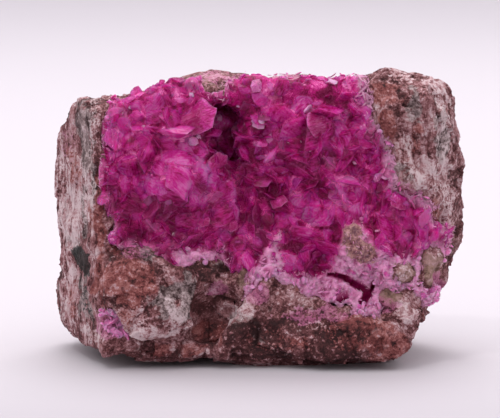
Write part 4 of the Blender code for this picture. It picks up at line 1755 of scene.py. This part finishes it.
def carried(parts: Sequence[bpy.types.Object], points: Points) -> np.ndarray:
    """What the parts hold at the spot nearest to each point.

    Args:
        parts: objects whose meshes hold the numbers named in HELD.
        points: places, one a row.

    Returns:
        A row for each point: the numbers of HELD, in order.
    """
    spots, corners, held = [], [], []
    for part in parts:
        mesh, before = part.data, sum(map(len, spots))
        mesh.calc_loop_triangles()
        corner = np.empty(3 * len(mesh.loop_triangles), np.int32)
        mesh.loop_triangles.foreach_get("vertices", corner)
        spots.append(places_of(mesh))
        corners.append(corner.reshape(-1, 3) + before)
        columns = []
        for name, key, width in HELD:
            column = np.zeros(width * len(mesh.vertices))
            if name in mesh.attributes:
                mesh.attributes[name].data.foreach_get(key, column)
            columns.append(column.reshape(-1, width))
        held.append(np.concatenate(columns, 1))
    spots, corners, held = (np.concatenate(rows) for rows in (spots, corners, held))
    tree = BVHTree.FromPolygons(spots.tolist(), corners.tolist())
    nearest = [tree.find_nearest(point)[:3:2] for point in points.tolist()]
    near = np.array([spot[:] for spot, _ in nearest])
    corners = corners[[face for _, face in nearest]]
    first, second, third = (spots[corners[:, at]] for at in range(3))
    one, two, off = second - first, third - first, near - first
    one_one, one_two, two_two = dot(one, one), dot(one, two), dot(two, two)
    off_one, off_two = dot(off, one), dot(off, two)
    scale = np.maximum(one_one * two_two - one_two**2, 1e-30)
    along = np.clip((two_two * off_one - one_two * off_two) / scale, 0.0, 1.0)
    across = np.clip((one_one * off_two - one_two * off_one) / scale, 0.0, 1.0)
    shares = np.stack([1.0 - along - across, along, across], 1)
    return np.einsum("ij,ijk->ik", shares, held[corners])


@dataclass
class Crust:
    """The mass of the druse: its sheet and its larger crystals, grown together. Lengths in metres.

    Args:
        name: the piece's name.
        voxel: its mesh's edge length.
        gap: half the width of the gaps that are filled.
        sunk: how far it lies below the crystals' faces.
        porous_rise: how far the matted growth of the porous part rises.
        hollow: how deep the clefts are.
        tufting: the share of the porous part's vertices that bear a thread.
        tuft_level: how bright the threads are, from -1 to 1.
        tufts: where threads stand, once it is built.
    """

    name: str = "druse_crust"
    voxel: float = 0.30 * MM
    gap: float = 0.45 * MM
    sunk: float = 0.22 * MM
    porous_rise: float = 0.62 * MM
    hollow: float = 1.6 * MM
    tufting: float = 0.25
    tuft_level: float = 0.4
    tufts: list[Site] = field(default_factory=list)

    def skin(self, parts: Sequence[bpy.types.Object]) -> bmesh.types.BMesh:
        """One skin round the parts, with the narrow gaps between them filled.

        Args:
            parts: objects whose meshes overlap.

        Returns:
            The skin.
        """
        bm = bmesh.new()
        for part in parts:
            bm.from_mesh(part.data)
        bm = fused(bm, self.voxel)
        move_to(bm, places(bm) + facings(bm) * self.gap)
        bm = fused(bm, self.voxel)
        move_to(bm, places(bm) - facings(bm) * (self.gap + self.sunk))
        soften(bm, 2)
        return bm

    def build(self, parts: Sequence[bpy.types.Object], core: BVHTree) -> bpy.types.Object:
        """Builds the mass.

        Args:
            parts: the sheet, which is then removed, and the crystals that it takes in.
            core: the rock's form.

        Returns:
            The piece.
        """
        bm = self.skin(parts)
        points = places(bm)
        held = carried(parts, points)
        bpy.data.objects.remove(parts[0])
        away = np.array([core.find_nearest(point)[1][:] for point in points.tolist()])
        outer = smooth(-0.1, 0.3, dot(away, facings(bm)))
        depth = druse_depth(points)
        porous = porous_share(points) * outer
        crests = 1.0 - np.abs(noise_at(points, 1.5 * MM, 5.0)) * 2.6
        threads = 1.0 - np.abs(noise_at(points, 0.7 * MM, 2.0)) * 2.6
        matted = 0.60 * crests + 0.40 * threads
        slit = hollow_share(points) * outer
        rise = porous * smooth(0.0, 1.4, depth) * self.porous_rise * (matted + 0.25) - self.hollow * slit
        move_to(bm, points + away * rise[:, None])
        crust = mesh_object(self.name, bm)
        mesh = crust.data
        porous = porous * (1.0 - slit)
        faded = 1.0 - np.maximum(porous, slit)
        tone, rim, pallor, level = (held[:, at] for at in range(4))
        paint(mesh, "tone", tone * faded + 0.5 * porous)
        paint(mesh, "rim", rim * faded)
        right = right_share(points)
        ragged = depth + 0.8 * noise_at(points, 1.3 * MM, 15.0)
        fringe = smooth(1.6 + 1.8 * right, 0.2, ragged) * (1.0 - slit)
        fringe *= 0.55 + 0.45 * right
        milky = porous * (0.55 + 0.45 * smooth(-0.2, 0.6, matted))
        paint(mesh, "pallor", np.maximum.reduce([pallor * faded, milky, fringe]))
        # The shade level carries the painted shade of the deep places, held above -0.35, and the porous part
        # is brighter.
        paint(mesh, "level", np.maximum(level, -0.35) * faded + 0.3 * porous)
        # Painted shade in the porous part's hollows and in the clefts.
        paint(mesh, "pit", np.maximum(0.42 * porous * smooth(0.35, -0.35, matted), 0.85 * slit))
        paint(mesh, "porous", np.maximum(porous, fringe * (0.25 + 0.65 * right)))
        paint(mesh, "tan", tan_share(points) * porous)
        form = mesh.attributes.new("form", "FLOAT_VECTOR", "POINT")
        form.data.foreach_set("vector", held[:, 4:].astype(np.float32).ravel())
        smooth_faces(crust, 60.0)
        self.tufts = list(self.tufted(mesh, porous * (1.0 - 0.8 * tan_share(points)), depth))
        return crust

    def tufted(self, mesh: bpy.types.Mesh, porous: np.ndarray, depth: np.ndarray) -> Iterator[Site]:
        """Spots for threads, where the crust is porous and along its rim.

        Args:
            mesh: the crust's mesh.
            porous: how far each vertex belongs to the porous part, from 0 to 1.
            depth: millimetres that each lies inside the druse.

        Yields:
            Each spot.
        """
        right = right_share(places_of(mesh))
        share = np.maximum(porous, (0.3 + 0.7 * right) * smooth(2.4, 0.3, depth)) * self.tufting
        for at, vert in enumerate(mesh.vertices):
            if share[at] > 0.01 and vert.normal.y < 0.3:
                dice = random.Random(at)
                if dice.random() < share[at]:
                    deep, open_share = float(depth[at]), float(porous[at])
                    yield Site(vert.co.copy(), vert.normal.copy(), deep, open_share, self.tuft_level, dice)


@dataclass
class Druse:
    """The crystals of the druse and of the small patch, generation by generation."""

    seedbed: Seedbed
    scatter: Scatter
    clear: bpy.types.Material
    bright: bpy.types.Material
    milky: bpy.types.Material
    large: Growth = Growth(
        spacing=3.75, size=3.05, spread=(0.72, 1.2), lift=BED_THICK,
        flat=0.32, seed=4, rings=3, sharp=0.42,
    )
    edging: Growth = Growth(
        spacing=2.6, size=1.1, spread=(0.6, 1.25), leans=(50, 65, 80, 88), lift=0.30 * BED_THICK,
        flat=0.26, seed=9,
    )
    middling: Growth = Growth(
        spacing=2.35, size=1.75, spread=(0.65, 1.3), leans=(20, 40, 55, 70, 85), lift=1.5,
        flat=0.30, seed=21, sharp=0.5,
    )
    small: Growth = Growth(
        spacing=1.95, size=1.0, spread=(0.6, 1.3), leans=(30, 50, 70, 85), lift=1.5,
        flat=0.32, seed=33, sharp=0.5,
    )
    marked: Growth = Growth(flat=0.34, seed=77, segments=24, rings=3, sharp=0.85, bulging=0.4, crease=17.0)
    blades: Growth = Growth(
        spacing=0.95, size=0.42, spread=(0.5, 1.6), leans=(40, 60, 75, 88), lift=1.7,
        flat=0.26, seed=47, segments=10,
    )
    threads: Growth = Growth(
        size=0.36, spread=(0.5, 1.7), leans=(0, 8, 18, 30, 45),
        flat=0.12, seed=59, segments=6, narrow=0.20,
    )
    patch: Growth = Growth(
        spacing=1.7, size=1.2, spread=(0.75, 1.25), lift=0.3,
        flat=0.34, seed=2, segments=18, rings=3,
    )
    crumbs: Growth = replace(blades, spacing=0.9, size=0.55, spread=(0.6, 1.4), lift=0.35, seed=5)

    def forms(self, growth: Growth) -> list[LensForm]:
        """The forms that a generation takes.

        Args:
            growth: the generation.

        Returns:
            Four forms that differ in bulge and bend.
        """
        kinds = ((0.65, 0.0), (0.85, 0.5), (1.0, -0.4), (0.75, 0.9))
        return [
            LensForm(
                segments=growth.segments,
                rings=growth.rings,
                bulge=bulge * growth.bulging,
                bend=bend,
                seed=growth.seed + at,
                sharp=growth.sharp,
                crease=growth.crease,
            )
            for at, (bulge, bend) in enumerate(kinds)
        ]

    def first_growth(self) -> Iterator[Sprout]:
        """The crystals that the CAD form has: the large ones, and those along the rim.

        Yields:
            Each crystal.
        """
        for site in self.seedbed.sites(self.large):
            if site.depth < FRINGE_WIDTH * 0.5 or site.porous > 0.5:
                continue
            size = self.large.sized(site.dice)
            size *= 0.6 + 0.4 * float(smooth(0.0, 5.0, site.depth))
            x, z = site.at.x / MM, site.at.z / MM
            if x > FINE_CORNER[0] and z < FINE_CORNER[1]:
                size *= 0.65
            if z > TOP_RIM:
                size *= TOP_SIZE
            pallor = 0.04 + 0.5 * site.porous + 0.3 * float(smooth(4.0, 1.5, site.depth))
            yield sprout(site, self.large, size, self.large.lift, pallor)
        for site in self.seedbed.sites(self.edging):
            inward = 1.0 if site.at.x < LEFT_RIM * MM else 0.0
            if inward < site.depth < FRINGE_WIDTH and site.dice.random() > 0.85 * matted_share(site):
                size = self.edging.sized(site.dice)
                pallor = 0.55 * fringed(site) + 0.3 * site.porous
                yield sprout(site, self.edging, size, self.edging.lift, pallor)

    def later_growth(self, growth: Growth) -> Iterator[Sprout]:
        """A generation that fills in between the large crystals, away from the porous part.

        Args:
            growth: the generation.

        Yields:
            Each crystal.
        """
        for site in self.seedbed.sites(growth):
            if site.dice.random() < 0.85 * matted_share(site) or site.depth < 0.5:
                continue
            size = growth.sized(site.dice) * (0.7 + 0.3 * float(smooth(0.0, 3.0, site.depth)))
            lift = growth.lift * float(smooth(-1.0, 3.0, site.depth))
            if site.at.z > TOP_RIM * MM:
                size, lift = size * TOP_SIZE, lift * TOP_SIZE
            pallor = 0.03 + 0.5 * float(smooth(3.0, 0.5, site.depth)) * fringed(site) + 0.4 * site.porous
            yield sprout(site, growth, size * (1.0 - 0.35 * site.porous), lift, pallor)

    def pale_growth(self) -> Iterator[Sprout]:
        """The small blades that stand on the porous part and along the rim.

        Yields:
            Each crystal.
        """
        for site in self.seedbed.sites(self.blades):
            share = max(matted_share(site), 0.5 * float(smooth(2.2, 0.6, site.depth)) * fringed(site))
            if site.dice.random() < share * 0.7:
                size = self.blades.sized(site.dice)
                lift = self.blades.lift * float(smooth(-0.8, 2.5, site.depth))
                yield sprout(site, self.blades, size, lift, 0.45 + 0.45 * site.porous)

    def thread_growth(self, tufts: Sequence[Site]) -> Iterator[Sprout]:
        """The fine threads that mat the porous part and the rim.

        Args:
            tufts: where the threads stand.

        Yields:
            Each thread.
        """
        for site in tufts:
            size = self.threads.sized(site.dice)
            size *= 1.0 + 0.9 * max(matted_share(site) - site.porous, 0.0)
            yield sprout(site, self.threads, size, self.threads.lift, 0.9)

    def marked_growth(self, mass: bpy.types.Object) -> Iterator[Sprout]:
        """The crystals that stand out, and the small white ones that are painted highlights, on the front of
        the mass.

        Args:
            mass: the piece that they stand on.

        Yields:
            Each crystal.
        """
        bpy.context.view_layer.update()
        for mark in MARKS_AND_GLINTS:
            start = Vector((mark.x * MM, IN_FRONT * MM, mark.z * MM))
            found, at, _, _ = mass.ray_cast(start, Vector((0, 1, 0)))
            if not found:
                continue
            facing = Vector((mark.facing[0], -1.0, mark.facing[1])).normalized()
            radius = CRYSTAL_RADIUS * mark.size * MM
            extent = Vector((radius, self.marked.narrow * radius, self.marked.flat * radius))
            stand = facing.to_track_quat("Z", "Y")
            spin = Quaternion((0, 0, 1), math.radians(mark.turn or 200.0 * mark.x))
            at += 0.12 * radius * facing
            tone, level = 0.7 * mark.pallor, mark.pallor - 0.3
            yield Sprout(at, stand @ spin, extent, tone, mark.pallor, level)

    def patch_growth(self) -> Iterator[Sprout]:
        """The crystals of the small patch.

        Yields:
            Each crystal.
        """
        for growth, pallor in ((self.patch, 0.65), (self.crumbs, 0.8)):
            for site in self.seedbed.sites(growth, patch_depth):
                yield sprout(site, growth, growth.sized(site.dice), growth.lift, pallor)

    def build(self, core: BVHTree, grown_together: bpy.types.Material) -> None:
        """Grows every generation, of which the larger ones become one mass with the sheet below them.

        Args:
            core: the rock's form.
            grown_together: the mass's finish.
        """
        sheet = Bed().build()
        large = self.grow("large_crystals", self.first_growth(), self.large, self.clear)
        middling = self.grow("middling_crystals", self.later_growth(self.middling), self.middling, self.clear)
        crust = Crust()
        mass = crust.build((sheet, large, middling), core)
        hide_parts("calcite_druse")
        dress(mass, grown_together)
        self.grow("small_crystals", self.later_growth(self.small), self.small, self.clear)
        # Among these are small white crystals that are painted highlights.
        self.grow("bright_crystals", self.marked_growth(mass), self.marked, self.bright)
        self.grow("pale_blades", self.pale_growth(), self.blades, grown_together, 0.6)
        self.grow("pale_threads", self.thread_growth(crust.tufts), self.threads, self.milky)
        self.grow("patch_crystals", self.patch_growth(), self.patch, grown_together, 0.6, "calcite_patch")

    def grow(
        self,
        name: str,
        grown: Iterator[Sprout],
        growth: Growth,
        finish: bpy.types.Material,
        matted: float = 0.0,
        node: str = "calcite_druse",
    ) -> bpy.types.Object:
        """Makes one piece of a generation.

        Args:
            name: the piece's name.
            grown: its crystals.
            growth: the generation.
            finish: its material.
            matted: how far it takes the porous part's thready pattern and tint, from 0 to 1.
            node: the part that it stands for.

        Returns:
            The piece.
        """
        sprouts = list(grown)
        piece = self.scatter.grow(name, sprouts, self.forms(growth), finish)
        paint_missing(piece.data, "pit")
        paint(piece.data, "porous", np.full(len(piece.data.vertices), matted))
        paint_missing(piece.data, "tan")
        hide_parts(node)
        dress(piece, finish)
        LOG.info("%s: %d crystals", name, len(sprouts))
        return piece


def paint_missing(mesh: bpy.types.Mesh, name: str) -> None:
    """Gives the mesh an attribute of zeros where it has none."""
    if name not in mesh.attributes:
        paint(mesh, name, np.zeros(len(mesh.vertices)))


# The studio


class Lamp(NamedTuple):
    """A square soft light: its name, its place and size in metres, its power in watts and its colour."""

    name: str
    place: Triple
    size: float
    power: float
    colour: Colour


@dataclass
class Studio:
    """A pale seamless floor, soft lights and the camera. Lengths in metres, angles in degrees."""

    shaded_floor_near: Colour = (0.450, 0.422, 0.452)
    floor_far: Colour = (0.615, 0.578, 0.612)
    width: float = 6.0
    near: float = -6.0
    far: float = 2.4
    bend: float = 0.8
    height: float = 2.2
    elevation: float = 7.0
    distance: float = 0.450
    lens: float = 177.0
    target: Triple = (-0.0017, 0.0, 0.0265)
    middle: Triple = (0.0, 0.0, 0.03)
    steps: int = 12
    air: Colour = (0.985, 0.965, 1.0)
    horizon: float = 0.45
    zenith: float = 1.70
    lamps: tuple[Lamp, ...] = (
        Lamp("top", (0.05, 0.50, 1.20), 0.60, 6.5, (1.0, 0.98, 1.0)),
        Lamp("key", (-0.30, -0.50, 0.85), 0.06, 1.2, (1.0, 0.985, 0.98)),
    )

    def sweep(self) -> None:
        """The floor, which bends up into the backdrop, painted darker towards the camera as shade."""
        bm = bmesh.new()
        line = [(self.near, 0.0)]
        for step in range(self.steps + 1):
            angle = math.radians(90 * step / self.steps)
            line.append((self.far + self.bend * math.sin(angle), self.bend * (1 - math.cos(angle))))
        line.append((self.far + self.bend, self.height))
        rows = [[bm.verts.new((side * self.width / 2, y, z)) for side in (-1, 1)] for y, z in line]
        for below, above in zip(rows, rows[1:]):
            bm.faces.new((below[0], below[1], above[1], above[0]))
        floor = mesh_object("floor", bm)
        smooth_faces(floor)
        sh = Shading("paper")
        tooth = sh.noise(2.0 * MM, 2.0)
        along = Value(sh, sh.node("ShaderNodeSeparateXYZ", sockets={0: sh.place}, output="Y"))
        # Painted shade: the floor is darker towards the camera, in front of the specimen.
        paper = sh.mix(self.shaded_floor_near, self.floor_far, along.step(-0.10, 0.01))
        floor.data.materials.append(
            sh.finish({"Base Color": paper, "Roughness": 0.6 + tooth * 0.1, "Specular IOR Level": 0.2})
        )
        floor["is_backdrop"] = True

    def sky(self) -> bpy.types.World:
        """A dome of soft light, brightest overhead.

        Returns:
            The world.
        """
        sky = bpy.data.worlds.new("studio")
        sky.use_nodes = True
        tree = sky.node_tree
        place = add_node(tree, "ShaderNodeTexCoord").outputs["Generated"]
        up = add_node(tree, "ShaderNodeSeparateXYZ", sockets={0: place}).outputs["Z"]
        span = {"Value": up, "To Min": self.horizon, "To Max": self.zenith}
        strength = add_node(tree, "ShaderNodeMapRange", sockets=span).outputs[0]
        back = tree.nodes["Background"].inputs
        back["Color"].default_value = (*self.air, 1.0)
        tree.links.new(strength, back["Strength"])
        return sky

    def light(self, lamp: Lamp) -> None:
        """Sets up a lamp that points at the specimen.

        Args:
            lamp: what it is.
        """
        area = bpy.data.lights.new(lamp.name, "AREA")
        area.size = lamp.size
        area.energy = lamp.power
        area.color = lamp.colour
        made = in_scene(lamp.name, area)
        made.location = lamp.place
        made.rotation_euler = (Vector(self.middle) - made.location).to_track_quat("-Z", "Y").to_euler()

    def camera(self) -> None:
        """The camera at the photograph's angle."""
        tilt = math.radians(self.elevation)
        lens = bpy.data.cameras.new("camera")
        lens.lens = self.lens
        lens.sensor_width = 36.0
        lens.clip_start = 0.01
        made = in_scene("camera", lens)
        made.location = Vector(self.target) + self.distance * Vector((0, -math.cos(tilt), math.sin(tilt)))
        made.rotation_euler = (math.pi / 2 - tilt, 0, 0)
        bpy.context.scene.camera = made

    def build(self) -> None:
        """Sets everything up."""
        scene = bpy.context.scene
        scene.view_settings.view_transform = "Standard"
        scene.world = self.sky()
        self.sweep()
        for lamp in self.lamps:
            self.light(lamp)
        self.camera()


def main() -> None:
    """Builds the specimen and its studio."""
    logging.basicConfig(level=logging.INFO, format="%(message)s")
    noise.seed_set(NOISE_SEED)
    rock = HostRock().build()
    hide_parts("host_rock")
    dress(rock, RockFinish().material())
    mass = CalciteFinish(
        "grown-together calcite",
        dark=(0.125, 0.001, 0.030),
        deep=(0.270, 0.001, 0.078),
        vivid=(0.500, 0.008, 0.200),
        pale=(0.840, 0.270, 0.560),
        roughness=0.40,
        ior=1.15,
        reach=0.8 * MM,
        transmission=0.0,
        coat=0.0,
        glint=0.0,
        grit=0.03 * MM,
    )
    clear = CalciteFinish(
        "clear calcite",
        dark=(0.420, 0.003, 0.135),
        deep=(0.760, 0.016, 0.320),
        vivid=(0.950, 0.050, 0.580),
        pale=(0.970, 0.400, 0.790),
        roughness=0.16,
        ior=1.18,
        transmission=0.70,
    )
    milky = CalciteFinish(
        "milky calcite",
        deep=(0.48, 0.07, 0.24),
        vivid=(0.62, 0.18, 0.38),
        pale=(0.76, 0.40, 0.57),
        roughness=0.5,
        subsurface=0.0,
        transmission=0.0,
        coat=0.0,
        glint=0.0,
    )
    # This finish also serves the small white crystals that are painted highlights.
    bright = CalciteFinish(
        "bright calcite",
        dark=(0.440, 0.004, 0.150),
        deep=(0.620, 0.012, 0.270),
        vivid=(0.880, 0.055, 0.520),
        pale=(0.930, 0.540, 0.800),
        roughness=0.14,
        ior=1.20,
        transmission=0.35,
        coat=0.20,
    )
    form = node_bmesh("host_rock")
    core = BVHTree.FromBMesh(form)
    form.free()
    finishes = (clear.material(), bright.material(), milky.material())
    Druse(Seedbed(core), Scatter(), *finishes).build(core, mass.material())
    Studio().build()
    boxes = {"cad": CAD_BOX, "visual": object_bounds()}
    {name: [list(corner) for corner in box] for name, box in boxes.items()}


if __name__ == "__main__":
    main()
